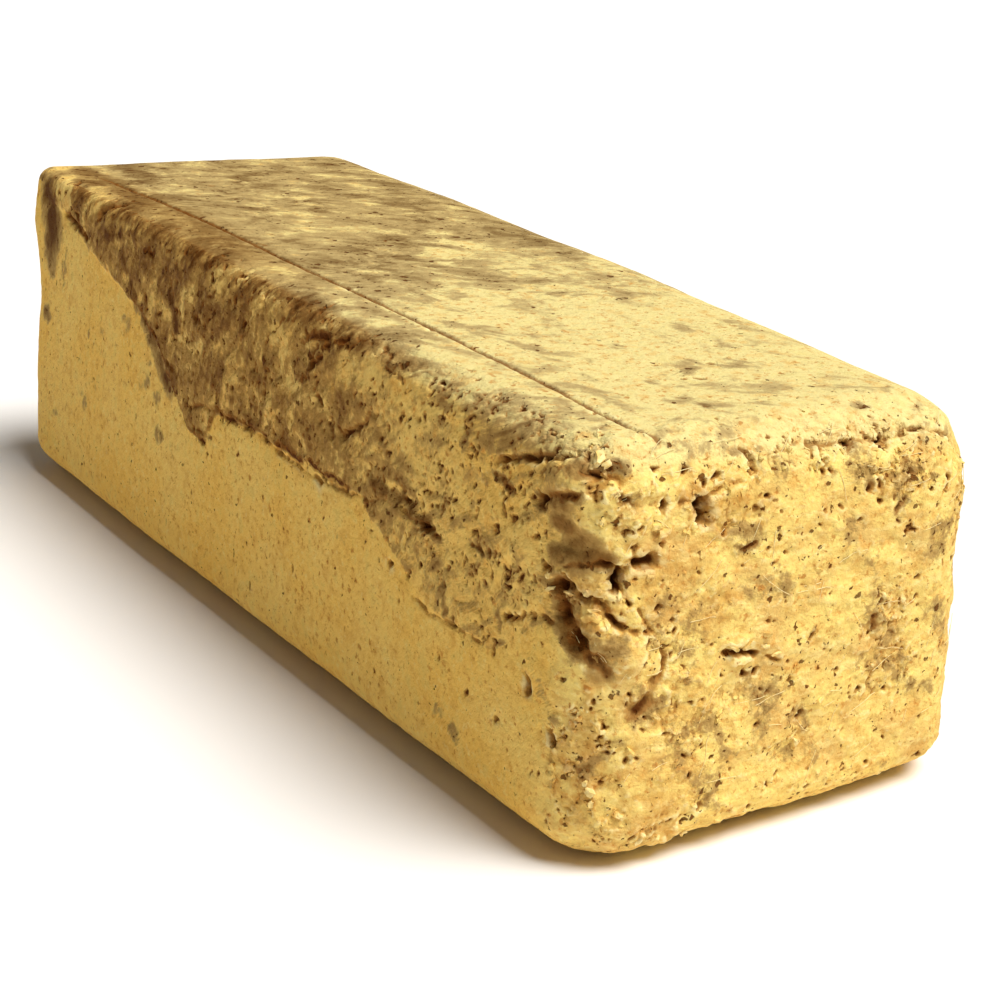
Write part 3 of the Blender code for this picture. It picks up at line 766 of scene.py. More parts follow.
class Skin:
    """The smooth skin's points and normals in mm, how much each point is of each region, and its
    relief: its height over the smooth skin in mm, and how hollow and how toasted it is. The
    material darkens hollow points with painted shade."""

    def __init__(self, points, normals):
        self.points = points
        self.normals = normals
        x, _, z = points.T
        self.torn = rise(x, 126, 139)
        self.up = rise(normals[:, 2], 0.35, 0.75)
        self.band_side = rise(-normals[:, 1], 0.35, 0.7)
        edge = np.interp(x, BAND_EDGE_X, BAND_EDGE_Z)
        self.over_edge = z - edge - 0.9 * fractal(points / 5, seed=12, octaves=2)
        self.band = (rise(self.over_edge, -0.6, 1.0) * self.band_side
                     * rise(-x, -144, -132) * rise(x, -136, -122))
        foot = falloff(self.over_edge - 0.3, 0.9) * rise(-x, -70, -50) * rise(x, -85, -50)
        self.band_foot = foot * self.band_side
        self.strands = strand_places(points)
        self.push = np.stack([fractal(points / PUSH_SIZE, seed) for seed in (41, 42, 43)], axis=1)
        self.loose = points + PUSH * self.push
        self.patchy = fractal(points / PATCH_SIZE, seed=4, octaves=2)
        ragged = points + PATCH_WANDER * self.patchy[:, None] + 2.0 * self.push
        self.crumbled = blobs(ragged, CRUMBLED)
        self.toasted = blobs(ragged, TOASTED)
        self.smears_and_shade = blobs(points, SMEARS_AND_SHADE)
        self.height = np.zeros(len(points))
        self.hollow = np.zeros(len(points))
        self.axes = {"top": (0, 1), "side": (0, 2), "end": (1, 2)}
        self.on_face = {
            "top": np.flatnonzero(normals[:, 2] > 0.5),
            "side": np.flatnonzero((normals[:, 1] < -0.25) & (x < 143)),
            "end": np.flatnonzero((x > 130) & (normals[:, 0] > 0.2)),
        }

    def place(self, spot, face=None):
        """The skin's point at a place on a face, or nearest to a place in space."""
        if len(spot) == 3:
            return self.points[nearest_index(self.points, spot)]
        found = self.on_face[face]
        return self.points[found[nearest_index(self.points[found][:, self.axes[face]], spot)]]

    def line(self, spots, face=None):
        """The skin's points at the places that a line runs through."""
        return np.array([self.place(spot, face) for spot in spots])


def raise_layers(skin):
    """The loaf's broad unevenness, the layers and ridges of the band, the sheets, lumps and
    cracked crumble of the torn end, a grain over all of them, and the named swells."""
    points, torn, band, push = skin.points, skin.torn, skin.band, skin.push
    x = points[:, 0]
    height = 0.5 * fractal(points / 45, seed=3, octaves=1)
    layered = band * (1 - torn) * (0.5 + 0.5 * rise(x, -60, 30) - 0.4 * rise(x, 50, 90))
    layers = fractal((skin.strands + 1.5 * push) / (7, 9, 9), seed=1, octaves=2)
    height += layers * (0.10 + 0.55 * layered)
    ridges = np.abs(fractal((skin.strands + 2.5 * push) / (4.5, 5.5, 5.5), seed=5, octaves=2))
    height -= ridges * (0.02 + 0.50 * layered)
    sheets = np.tanh(12.0 * fractal((skin.loose + 1.5 * push) / (9, 11, 6), seed=7))
    height += sheets * 0.28 * torn * (0.5 + 0.5 * skin.crumbled)
    lumps = np.abs(fractal(points / 11, seed=2, octaves=4)) * 2.0 - 0.6
    height -= lumps * 0.45 * torn
    rough = np.maximum(np.maximum(0.35 * torn, band * (1 - torn)), skin.crumbled)
    height += push[:, 0] * (0.02 + 0.22 * rough)
    cells = np.array([noise.voronoi(Vector(p))[0][:2] for p in (points + 1.4 * push) / 2.7])
    cracked = falloff(cells[:, 1] - cells[:, 0], 0.18) * rise(skin.patchy, -0.35, 0.25)
    height -= skin.crumbled * (0.40 * cracked + 0.30 * cells[:, 0])
    height += BAND_STEP * band * (1 - 0.9 * rise(x, 45, 75))
    for swell, sizes, place in SWELLS:
        reach = np.linalg.norm((skin.loose - place) / sizes, axis=1)
        height += swell * np.clip(1.0 - reach ** 2, 0.0, 1.0) ** 2
    skin.height = height
    # painted shadow under the band's standing edge, and painted shade in the cracks of the crumble, both
    # marked as hollow
    under_band = skin.band_foot * rise(skin.patchy, -0.25, 0.2)
    skin.hollow = np.maximum(0.6 * skin.crumbled * cracked, under_band)


def press_crease(skin):
    """Presses the crease into the top, narrower and shallower towards the torn end."""
    depth, half_width, spots = CREASE
    x = skin.points[:, 0]
    gap = distance_to_line(skin.points + 0.2 * skin.push, skin.line(spots))
    cut = falloff(gap, half_width * (1 - 0.1 * rise(x, -20, 80)))
    skin.height -= depth * cut * (0.8 + 0.5 * skin.patchy)
    # the crease is marked hollow, for painted shade in it
    skin.hollow = np.maximum(skin.hollow, (0.75 - 0.2 * rise(x, -60, 40)) * cut)


def open_crevices(skin):
    """Opens the crevices, uneven in width and depth, with toasted paste beside them."""
    ragged = skin.points + 0.5 * skin.push
    for depth, half_width, spots in CREVICES:
        gap = distance_to_line(ragged, skin.line(spots))
        cut = falloff(gap, half_width * (0.9 + 0.5 * skin.patchy))
        cut *= np.clip(0.85 + 1.1 * skin.patchy, 0.35, 1.4)
        skin.height -= depth * cut
        skin.hollow = np.maximum(skin.hollow, cut * min(1.0, 0.35 + depth / 3.0))
        skin.toasted = np.maximum(skin.toasted, 0.5 * falloff(gap, 2.2 * half_width))


def sink_strokes(skin):
    """Sinks the narrow dark strokes of the side and the torn end, as short broken cracks."""
    broken = rise(fractal(skin.points / 2.5, seed=6, octaves=2), -0.25, 0.15)
    for face in ("side", "end"):
        for darkness, half_width, spots in STROKES[face]:
            if darkness >= 0.7 and half_width <= 1.6:
                gap = distance_to_line(skin.loose, skin.line(spots, face))
                cut = falloff(gap, 0.6 * half_width, 4) * broken
                skin.height -= 0.5 * cut
                skin.hollow = np.maximum(skin.hollow, darkness * cut)


def face_holes(skin, rng):
    """Every hole as its place, radius and depth: those that show one by one, and a scatter of
    small ones, thickest where the torn end is crumbled and in the band."""
    holes = []
    for face, by_radius in HOLES.items():
        for radius, spots in by_radius.items():
            for spot in spots:
                holes.append((skin.place(spot, face), 0.8 * radius, 0.9 * radius + 0.1))
    x, y, z = skin.points.T
    near_band = skin.band * (0.25 + 0.5 * rise(x, -60, 20) + rise(x, 50, 110))
    near_band += 1.2 * skin.band_foot
    near_top = skin.up * rise(x, 60, 120) * (0.05 + 0.3 * rise(-y, 20, 40))
    share = (0.02 + 0.04 * rise(x, 60, 120) + 0.17 * skin.torn + 0.7 * skin.crumbled
             + near_band + near_top * (1 - skin.torn))
    share *= 1 - rise(skin.smears_and_shade, 0.02, 0.2)
    share *= rise(z, 2, 6) * (0.10 + rise(fractal(skin.points / 9, seed=31, octaves=2), -0.05, 0.35))
    # the mesh has four times the points where its step is halved
    share /= np.where((x > FINE_FROM_X) | (skin.band > 0.5), 4.0, 1.0)
    for index in rng.choice(len(skin.points), SMALL_HOLES, replace=False, p=share / share.sum()):
        radius = 0.25 + 0.38 * rng.random() ** 2
        depth = radius * rng.uniform(0.8, 1.5) * (1 - 0.25 * skin.band[index])
        holes.append((skin.points[index], radius, depth))
    return holes


def cut_holes(skin):
    """Sinks every hole, with ragged rims drawn out along the layers, marks it as hollow and
    toasts the paste round it."""
    rng = np.random.default_rng(HOLE_SEED)
    tree = search_tree(skin.loose)
    for place, radius, depth in face_holes(skin, rng):
        near = np.array([found[1] for found in tree.find_range(place, 2.6 * radius)], int)
        if not len(near):
            continue
        offset = skin.loose[near] - place
        middle = near[nearest_index(skin.loose[near], place)]
        torn = skin.torn[middle]
        run = np.cross(skin.normals[middle], (1.0, -STRAND_SKEW, -strand_lean(place[0])))
        run = run * (1 - torn) + np.array((0.0, 0.8, 0.35)) * torn
        run = run / np.linalg.norm(run) + rng.normal(0.0, 0.35, 3)
        along = offset @ (run / np.linalg.norm(run))
        stretch = rng.uniform(0.45, 0.92) * (1 - 0.45 * torn)
        gap = np.sqrt(np.maximum(np.sum(offset ** 2, axis=1) - stretch * along ** 2, 0.0))
        skin.height[near] -= depth * falloff(gap, radius, 4)
        dark = falloff(gap, 0.9 * radius, 4) * min(1.1, 0.9 + 0.3 * radius)
        skin.hollow[near] = np.maximum(skin.hollow[near], dark)
        rim = (0.1 + 0.5 * torn) * falloff(gap, 1.7 * radius)
        skin.toasted[near] = np.maximum(skin.toasted[near], rim)


def stands_out(mesh, height, passes=8):
    """How far each point stands over the mean of the points round it, in mm."""
    ends = np.empty(len(mesh.edges) * 2, np.int32)
    mesh.edges.foreach_get("vertices", ends)
    first, second = ends.reshape(-1, 2).T
    count = np.bincount(ends, minlength=len(height))
    mean = height
    for _ in range(passes):
        total = np.bincount(first, mean[second], len(height))
        total += np.bincount(second, mean[first], len(height))
        mean = 0.5 * mean + 0.5 * total / count
    return height - mean


# ---------------------------------------------------------------- the skin's marbling, with its painted light and shade

def broad_cocoa(skin):
    """How much cocoa is mixed into each region, and how strongly the strands in it show."""
    x, y, z = skin.points.T
    patches = fractal(skin.points / (26, 14, 14), seed=23)
    back = rise(skin.normals[:, 1], 0.4, 0.8)
    far_end = rise(-skin.normals[:, 0], 0.4, 0.8)
    level = 0.06 * patches
    level += skin.up * (0.49 - 0.37 * rise(x, 5, 65)) * (1 - skin.torn)
    level += 0.16 * patches * skin.up
    # the strip between the crease and the shoulder, and the band below it
    strip = rise(-y, 31, 34) * rise(skin.normals[:, 2], 0.1, 0.5) * (1 - skin.torn)
    strip *= 0.68 - 0.14 * rise(x, -60, -10) - 0.26 * rise(x, 20, 110) + 0.2 * patches
    level = np.maximum(level, strip)
    band = skin.band * (0.51 - 0.13 * rise(x, -10, 70) - 0.16 * rise(x, 60, 100) + 0.16 * patches)
    # more cocoa along the band's foot paints the shadow under its standing edge
    level = np.maximum(level, band + 0.3 * skin.band_foot)
    level += skin.torn * (0.08 * rise(z, 15, 45) - 0.02)
    level += (back + far_end) * 0.35 * rise(z, 58, 80) * rise(-x, -60, 20)
    level += back * 0.25 * rise(patches, -0.1, 0.4) + far_end * 0.25 * rise(patches, -0.2, 0.4)
    in_band = 0.68 - 0.13 * rise(x, -40, 50) - 0.12 * rise(x, 60, 100)
    lively = 0.12 + 0.42 * skin.up + skin.band * in_band
    lively += 0.35 * back + 0.35 * far_end + 0.25 * skin.torn
    return level, lively


def cocoa_amount(skin):
    """How much cocoa is mixed into each point, from the broad levels and the strokes and streaks
    that show one by one, with painted shade in the crease and the smears, and how strongly the
    strands in it show."""
    level, lively = broad_cocoa(skin)
    for face, strokes in STROKES.items():
        stretch, strength = (1.1, 1.1) if face == "side" else (1.35, 0.68)
        for darkness, half_width, spots in strokes:
            reach = falloff(distance_to_line(skin.loose, skin.line(spots, face)), half_width * stretch)
            level = np.maximum(level, strength * darkness * reach)
            lively = np.maximum(lively, 0.8 * rise(reach, 0.02, 0.4))
    for paleness, half_width, spots in PALE_STREAKS:
        gap = distance_to_line(skin.loose, skin.line(spots))
        level *= 1.0 - paleness * falloff(gap, 1.2 * half_width)
    # painted shade along the crease, darker towards the far end
    _, half_width, spots = CREASE
    in_crease = falloff(distance_to_line(skin.points, skin.line(spots)), 1.5 * half_width)
    level = np.maximum(level, (0.95 - 0.4 * rise(skin.points[:, 0], -40, 60)) * in_crease)
    # painted shade: the smears darken the cocoa amount, and the strands don't show in them
    smears_and_shade = skin.smears_and_shade
    level = np.where(smears_and_shade > 0.02, np.maximum(level * (1 - smears_and_shade), smears_and_shade), level)
    lively = np.minimum(lively, 1.0) * (1 - rise(smears_and_shade, 0.05, 0.4))
    return level, lively


def store_looks(mesh, skin):
    """Stores what the material needs to know at each point, as ATTRIBUTES lists it."""
    x, y, _ = skin.points.T
    cocoa, lively = cocoa_amount(skin)
    far_strip = rise(-y, 28, 38) * rise(-x, -40, 40)
    # browner in the band, and in the smears, where it is painted shade
    browner = np.maximum(skin.band * (1 - 0.6 * rise(x, 30, 100)), skin.smears_and_shade)
    browner = np.maximum(browner, 0.3 * skin.up * far_strip)
    # painted sheen on the top, a little stronger towards the torn end and weaker in the far strip by the
    # shoulder
    pale_top = skin.up * (0.8 + 0.2 * rise(x, -60, 40)) * (1 - 0.6 * far_strip)
    fresh = skin.torn * (0.3 + 0.7 * rise(skin.normals[:, 0], 0.0, 0.5))
    # how far each point stands out, less in the band and by its foot: the material paints highlights on
    # raised rims and shade in dips from it
    by_foot = falloff(skin.over_edge + 0.5, 1.3) * skin.band_side
    raised = stands_out(mesh, skin.height) * (1 - 0.6 * skin.band) * (1 - 0.8 * by_foot)
    looks = (
        (cocoa, lively, skin.hollow),
        (browner, pale_top, fresh),
        skin.strands.T,
        (skin.toasted, skin.crumbled, raised),
    )
    for name, values in zip(ATTRIBUTES, looks):
        add_attribute(mesh, name, np.stack(values, axis=1))


# ---------------------------------------------------------------- pieces

def make_loaf():
    """The whole loaf's skin, with what its material needs to know at each point."""
    loaf = smooth_block()
    loaf.name = loaf.data.name = "loaf_skin"
    apply_modifier(loaf, "REMESH", mode="VOXEL", voxel_size=SKIN_STEP)
    refine_rough_parts(loaf)
    mesh = loaf.data
    skin = Skin(*read_points(mesh))
    raise_layers(skin)
    press_crease(skin)
    open_crevices(skin)
    sink_strokes(skin)
    cut_holes(skin)
    store_looks(mesh, skin)
    off_base = rise(skin.points[:, 2], BASE_PRESSED, FLAT_BASE_HEIGHT)
    points = skin.points + skin.normals * (skin.height * off_base)[:, None] - MIDDLE
    points[:, 2] = np.where(points[:, 2] < BASE_PRESSED, 0.0, points[:, 2])
    write_points(mesh, points * MM)
    apply_modifier(loaf, "TRIANGULATE")
    apply_modifier(loaf, "DECIMATE", ratio=min(1.0, SKIN_TRIANGLES / len(mesh.polygons)))
    bpy.ops.object.shade_smooth()
    return loaf


def rough_pebbles(count, rng):
    """A few irregular pebbles of radius 1 to copy from."""
    pebbles = []
    for _ in range(count):
        bpy.ops.mesh.primitive_ico_sphere_add(subdivisions=2, radius=1.0)
        pebble = bpy.context.object
        shift = Vector(rng.uniform(0.0, 50.0, 3))
        for vertex in pebble.data.vertices:
            bulge = noise.fractal(vertex.co * 1.3 + shift, 1.0, 2.0, 2)
            vertex.co = vertex.co * (1.0 + RAGGEDNESS * bulge)
        pebbles.append(pebble)
    return pebbles


def joined_copies(name, pebbles, places, rng):
    """One piece made of copies of the pebbles, which go, each turned at random: every place gives
    the point in mm, the size along three axes in mm and the way that the third axis points."""
    bpy.ops.object.select_all(action="DESELECT")
    copies = []
    for place, sizes, up in places:
        copy = bpy.data.objects.new(name, pebbles[rng.integers(len(pebbles))].data.copy())
        spin = Quaternion((0.0, 0.0, 1.0), rng.uniform(0.0, math.tau))
        copy.rotation_mode = "QUATERNION"
        copy.rotation_quaternion = Vector(up).to_track_quat("Z", "Y") @ spin
        copy.location = Vector(place) * MM
        copy.scale = Vector(sizes) * MM
        bpy.context.scene.collection.objects.link(copy)
        copy.select_set(True)
        copies.append(copy)
    bpy.context.view_layer.objects.active = copies[0]
    bpy.ops.object.join()
    bpy.ops.object.transform_apply(location=True, rotation=True, scale=True)
    piece = bpy.context.object
    piece.name = piece.data.name = name
    write_points(piece.data, read_points(piece.data)[0], BOX_MARGIN)
    bpy.ops.object.shade_smooth_by_angle(angle=math.radians(50.0))
    for pebble in pebbles:
        bpy.data.objects.remove(pebble)
    return piece


def make_crumbs(loaf, halva):
    """Crumbs that cling to the crumbled parts of the torn end, and a few more near them."""
    rng = np.random.default_rng(CRUMB_SEED)
    points, normals = read_points(loaf.data)
    crumbled = read_attribute(loaf.data, "wear_and_relief_light")[:, 1]
    share = np.clip(crumbled, 0.0, 1.0) + 0.01 * (points[:, 0] > 0.12)
    share *= points[:, 2] > 0.002
    places = []
    for index in rng.choice(len(points), CRUMBS, replace=False, p=share / share.sum()):
        radius = 0.35 + 0.65 * rng.random() ** 2
        sizes = radius * np.array((rng.uniform(0.7, 1.6), rng.uniform(0.6, 1.1), rng.uniform(0.35, 0.7)))
        up = normals[index] + rng.normal(0.0, 0.3, 3)
        places.append((points[index] / MM - normals[index] * 0.1 * radius, sizes, up))
    crumbs = joined_copies("crumbs", rough_pebbles(CRUMB_SHAPES, rng), places, rng)
    tree = search_tree(points)
    nearest = [tree.find(vertex.co)[1] for vertex in crumbs.data.vertices]
    for name in ATTRIBUTES:
        values = read_attribute(loaf.data, name)[nearest]
        if name == "marbling_and_shade":
            # a crumb beside a hole isn't as dark as the hole
            values[:, 2] *= 0.3
        add_attribute(crumbs.data, name, values)
    crumbs.data.materials.append(halva)
    return crumbs


def make_flakes(loaf):
    """Pale flakes of paste that stand off the near corner, the slit and the foot of the end."""
    rng = np.random.default_rng(FLAKE_SEED)
    pebbles = rough_pebbles(FLAKE_SHAPES, rng)
    points, normals = read_points(loaf.data)
    places = []
    for spot, sizes in FLAKES:
        index = nearest_index(points / MM, np.array(spot) - MIDDLE)
        up = normals[index] + rng.normal(0.0, 0.35, 3)
        places.append((points[index] / MM + normals[index] * 0.15, FLAKE_SIZE * np.array(sizes), up))
    flakes = joined_copies("pale_flakes", pebbles, places, rng)
    flakes.data.materials.append(flake_material())
    return flakes


def add_thread(curve, count, places, widths, rng):
    """Adds one thread through a count of places, with a width drawn at each of them."""
    spline = curve.splines.new("POLY")
    spline.points.add(count - 1)
    for point, place in zip(spline.points, places):
        point.co = (*place, 1.0)
        point.radius = rng.uniform(*widths)


def make_threads(loaf):
    """Fine pale sugar threads that lie on the torn end and bridge its dark cavity."""
    rng = np.random.default_rng(THREAD_SEED)
    points, normals = read_points(loaf.data)
    tree = search_tree(points)
    curve = bpy.data.curves.new("threads", "CURVE")
    curve.dimensions = "3D"
    curve.bevel_depth = THREAD_RADIUS * MM
    curve.bevel_resolution = 0
    on_end = np.flatnonzero((points[:, 0] > 0.136) & (normals[:, 0] > 0.6) & (points[:, 2] > 0.006))
    for start in rng.choice(on_end, THREADS_ON_END, replace=False):
        angle = math.radians(rng.normal(28.0, 28.0))
        bend = rng.normal(0.0, 0.05)
        spot = points[start].copy()
        line = []
        for _ in range(rng.integers(4, 9)):
            index = tree.find(Vector(spot))[1]
            line.append(points[index] * 0.5 + spot * 0.5 + normals[index] * THREAD_GAP * MM)
            angle += bend
            step = np.array((0.0, math.cos(angle), math.sin(angle))) * THREAD_STEP * MM
            spot = points[index] * 0.6 + spot * 0.4 + step
        add_thread(curve, len(line), line, (0.6, 1.2), rng)
    by_cavity = np.flatnonzero(np.linalg.norm(points / MM + MIDDLE - CAVITY, axis=1) < CAVITY_REACH)
    for _ in range(THREADS_OVER_CAVITY):
        first = points[rng.choice(by_cavity)]
        run = np.array(CAVITY_RUN) * rng.uniform(0.6, 1.1) + rng.normal(0.0, 0.3, 3)
        last = points[tree.find(Vector(first + run * MM))[1]]
        bowed = (first * (1 - along) + last * along + rng.normal(0.0, 0.12, 3) * MM
                 for along in np.linspace(0.0, 1.0, CAVITY_THREAD_POINTS))
        add_thread(curve, CAVITY_THREAD_POINTS, bowed, (0.4, 0.9), rng)
    threads = bpy.data.objects.new("threads", curve)
    bpy.context.scene.collection.objects.link(threads)
    bpy.ops.object.select_all(action="DESELECT")
    threads.select_set(True)
    bpy.context.view_layer.objects.active = threads
    bpy.ops.object.convert(target="MESH")
    threads = bpy.context.object
    write_points(threads.data, read_points(threads.data)[0], BOX_MARGIN)
    bpy.ops.object.shade_smooth()
    threads.data.materials.append(thread_material())
    return threads


# ---------------------------------------------------------------- materials

def linear(hex_colour):
    """An sRGB hex colour as linear red, green, blue and alpha."""
    channels = [int(hex_colour[i:i + 2], 16) / 255 for i in (1, 3, 5)]
    return (*[c / 12.92 if c <= 0.04045 else ((c + 0.055) / 1.055) ** 2.4 for c in channels], 1.0)


def fill(tree, socket, value):
    """Links a socket or a node's first output to the socket, or sets a hex colour or a number."""
    if isinstance(value, bpy.types.Node):
        value = next(output for output in value.outputs if output.enabled)
    if isinstance(value, bpy.types.NodeSocket):
        tree.links.new(value, socket)
    else:
        socket.default_value = linear(value) if isinstance(value, str) else value


def node(tree, kind, *values, **named):
    """Adds one node. The values fill its inputs in order. Of the named ones, a small first letter
    is a setting and a capital one an input by its name."""
    made = tree.nodes.new("ShaderNode" + kind)
    for name, value in named.items():
        if name[0].islower():
            setattr(made, name, value)
    for socket, value in zip([socket for socket in made.inputs if socket.enabled], values):
        fill(tree, socket, value)
    for name, value in named.items():
        if name[0].isupper():
            fill(tree, made.inputs[name], value)
    return made


def new_material(name, roughness, shine):
    """A new material, its node tree and its shader."""
    material = bpy.data.materials.new(name)
    material.use_nodes = True
    shader = material.node_tree.nodes["Principled BSDF"]
    shader.inputs["Roughness"].default_value = roughness
    shader.inputs["Specular IOR Level"].default_value = shine
    return material, material.node_tree, shader


def laid_over(tree, under, colour, value, low, high, most=1.0, within=None):
    """A colour laid over the one under it where a value rises from low to high, at most so much,
    and only within a region where one is given."""
    share = node(tree, "MapRange", value, low, high, 0.0, most, interpolation_type="SMOOTHSTEP")
    if within is not None:
        share = node(tree, "Math", within, share, operation="MULTIPLY")
    return node(tree, "Mix", share, under, colour, data_type="RGBA")


# The halva's noises: the places that they read, lumps per mm (0.28 makes one every 3.6 mm), detail,
# roughness and distortion.
HALVA_NOISES = {
    "tone": ("millimetres", 0.04, 2.0, 0.55, 0.0),
    "tan": ("millimetres", 0.10, 4.0, 0.6, 0.0),
    "mottle": ("millimetres", 0.28, 5.0, 0.6, 0.0),
    "specks": ("millimetres", 0.65, 3.0, 0.65, 0.0),
    "grain": ("millimetres", 0.45, 5.0, 0.65, 0.0),
    "fine_grain": ("millimetres", 1.6, 3.0, 0.65, 0.0),
    "clouds": ("millimetres", 0.11, 6.0, 0.66, 0.5),
    "pulled": ("slanting", 0.8, 3.0, 0.6, 0.0),
    "streaks": ("drawn", 0.14, 3.0, 0.5, 0.3),
    "fibres": ("drawn", 0.5, 3.0, 0.6, 0.3),
}

# Cells with a toasted dot or a dark pore each: cells per mm, the spread of their radii and the
# least radius, in cells. Under 0 the cell stays empty. Dots are larger by the edge, pores smaller.
PORE_CELLS = ((0.32, 0.36, -0.18), (0.75, 0.42, -0.24))
DOT_EDGE = 0.03


def read_halva(tree):
    """What the halva's nodes know of each spot: its places, what the mesh stores, the noises."""
    here = SimpleNamespace()
    marbling_and_shade, regions, strands, wear_and_relief_light = [
        node(tree, "Attribute", attribute_name=name).outputs["Vector"] for name in ATTRIBUTES]
    here.cocoa, here.lively, here.hollow = node(tree, "SeparateXYZ", marbling_and_shade).outputs
    # the first value also carries the painted shade of the smears, and the second is the top's painted
    # sheen
    here.band, here.pale_top, here.torn = node(tree, "SeparateXYZ", regions).outputs
    here.toasted, _, here.raised = node(tree, "SeparateXYZ", wear_and_relief_light).outputs
    place = node(tree, "TexCoord").outputs["Object"]
    here.millimetres = node(tree, "VectorMath", place, 1 / MM, operation="SCALE")
    # squeezed along the layers, so that what these places carry is drawn out that way
    here.drawn = node(tree, "VectorMath", strands, (1.0, 0.8, 0.7), operation="MULTIPLY")
    # pushed about by 1 mm, for ragged shapes
    wander = node(tree, "TexNoise", here.millimetres, Scale=0.7, Detail=2.0).outputs["Color"]
    here.warped = node(tree, "VectorMath", wander, (2.2, 2.2, 2.2), here.millimetres,
                       operation="MULTIPLY_ADD")
    # slanting up to the right across the torn end, as it was pulled apart
    here.slanting = node(tree, "Mapping", here.warped, Rotation=(math.radians(-24.0), 0.0, 0.0),
                         Scale=(0.5, 0.16, 1.0))
    for name, (places, per_mm, detail, roughness, distortion) in HALVA_NOISES.items():
        made = node(tree, "TexNoise", getattr(here, places), Scale=per_mm, Detail=detail,
                    Roughness=roughness, Distortion=distortion)
        setattr(here, name, made)
    here.uneven = node(tree, "Math", here.grain, 0.5, operation="SUBTRACT")
    return here


def paste_colour(tree, here):
    """Golden on the pressed sides and paler at the torn end, with a painted sheen that pales the top,
    a broad tone over 25 mm, mottling over 4 mm, toasted specks of about 1 mm, and painted
    highlights on raised rims and painted shade in dips."""
    side = laid_over(tree, "#F9C860", "#FAD271", here.tone, 0.3, 0.7)
    end = laid_over(tree, "#F9D97B", "#DDB067", here.tan, 0.42, 0.66, 0.7)
    paste = node(tree, "Mix", here.torn, side, end, data_type="RGBA")
    # painted sheen: the top is paled towards cream
    paste = node(tree, "Mix", here.pale_top, paste, "#EDDA92", data_type="RGBA")
    half_band = node(tree, "Math", here.band, 0.5, operation="MULTIPLY")
    paste = node(tree, "Mix", half_band, paste, "#DDBA72", data_type="RGBA")
    paste = laid_over(tree, paste, "#DDA24A", here.mottle, 0.46, 0.74, 0.6)
    paste = laid_over(tree, paste, "#DDC26C", here.mottle, 0.50, 0.32, 0.35)
    paste = laid_over(tree, paste, "#C98438", here.specks, 0.56, 0.70, 0.7)
    paste = laid_over(tree, paste, "#FBE08C", here.specks, 0.44, 0.30, 0.5)
    # tan and pale lines where the torn end was pulled apart
    paste = laid_over(tree, paste, "#CF9A4E", here.pulled, 0.52, 0.66, 0.45, within=here.torn)
    paste = laid_over(tree, paste, "#FFE795", here.pulled, 0.46, 0.34, 0.5, within=here.torn)
    # painted highlight on raised rims and painted shade in dips
    paste = laid_over(tree, paste, "#FFECAA", here.raised, 0.03, 0.25, 0.7)
    paste = laid_over(tree, paste, "#C08A3C", here.raised, -0.04, -0.35, 0.6)
    toast = node(tree, "Math", here.uneven, 1.6, here.toasted, operation="MULTIPLY_ADD")
    return laid_over(tree, paste, "#BE8438", toast, 0.15, 1.1, 0.8)


def cocoa_share(tree, here):
    """How much cocoa shows: streaks and fibres on the drawn faces, clouds and grain at the torn
    end, as strong as the mesh says, over the amount that it stores."""
    wide = node(tree, "Mix", here.torn, here.streaks, here.clouds)
    narrow = node(tree, "Mix", here.torn, here.fibres, here.grain)
    both = node(tree, "Math", wide, 2.0, narrow, operation="MULTIPLY_ADD")
    swing = node(tree, "Math", both, 1.5, operation="SUBTRACT")
    stirred = node(tree, "Math", swing, here.lively, operation="MULTIPLY")
    marbled = node(tree, "Math", stirred, here.cocoa, operation="ADD")
    graininess = node(tree, "Math", here.band, 0.7, 0.35, operation="MULTIPLY_ADD")
    return node(tree, "Math", here.uneven, graininess, marbled, operation="MULTIPLY_ADD")


def dots_and_pores(tree, here, amount):
    """Toasted orange dots and dark pores of two sizes, up to 1.3 and 0.5 mm wide, each cell's its
    own, with more pores where there is cocoa or the paste is torn."""
    brown = node(tree, "MapRange", amount, 0.1, 0.7, interpolation_type="SMOOTHSTEP")
    stirred = node(tree, "MapRange", here.lively, 0.0, 0.4, interpolation_type="SMOOTHSTEP")
    thick = node(tree, "Math", brown, stirred, operation="MULTIPLY")
    common = node(tree, "Math", here.torn, 0.06, operation="MULTIPLY")
    common = node(tree, "Math", here.toasted, 0.06, common, operation="MULTIPLY_ADD")
    common = node(tree, "Math", thick, 0.16, common, operation="MULTIPLY_ADD")
    dot, pore = 0.0, 0.0
    for per_mm, spread, least in PORE_CELLS:
        cells = node(tree, "TexVoronoi", here.warped, Scale=per_mm)
        pore_size, dot_size, _ = node(tree, "SeparateColor", cells.outputs["Color"]).outputs
        radius = node(tree, "Math", dot_size, spread, least + DOT_EDGE, operation="MULTIPLY_ADD")
        inside = node(tree, "Math", radius, cells, operation="SUBTRACT")
        shown = node(tree, "MapRange", inside, -0.08, 0.08, interpolation_type="SMOOTHSTEP")
        dot = node(tree, "Math", dot, shown, operation="MAXIMUM")
        radius = node(tree, "Math", pore_size, spread, least - DOT_EDGE, operation="MULTIPLY_ADD")
        radius = node(tree, "Math", radius, common, operation="ADD")
        inside = node(tree, "Math", radius, cells, operation="SUBTRACT")
        shown = node(tree, "MapRange", inside, -0.02, 0.05, interpolation_type="SMOOTHSTEP")
        pore = node(tree, "Math", pore, shown, operation="MAXIMUM")
    return dot, pore


def cocoa_tone(tree, here, on_sides, on_top, in_band):
    """A tone of the cocoa that differs between the sides, the top and the band. The top's tone is
    paler and greyer as part of its painted sheen.
    """
    plain = node(tree, "Mix", here.pale_top, on_sides, on_top, data_type="RGBA")
    return node(tree, "Mix", here.band, plain, in_band, data_type="RGBA")


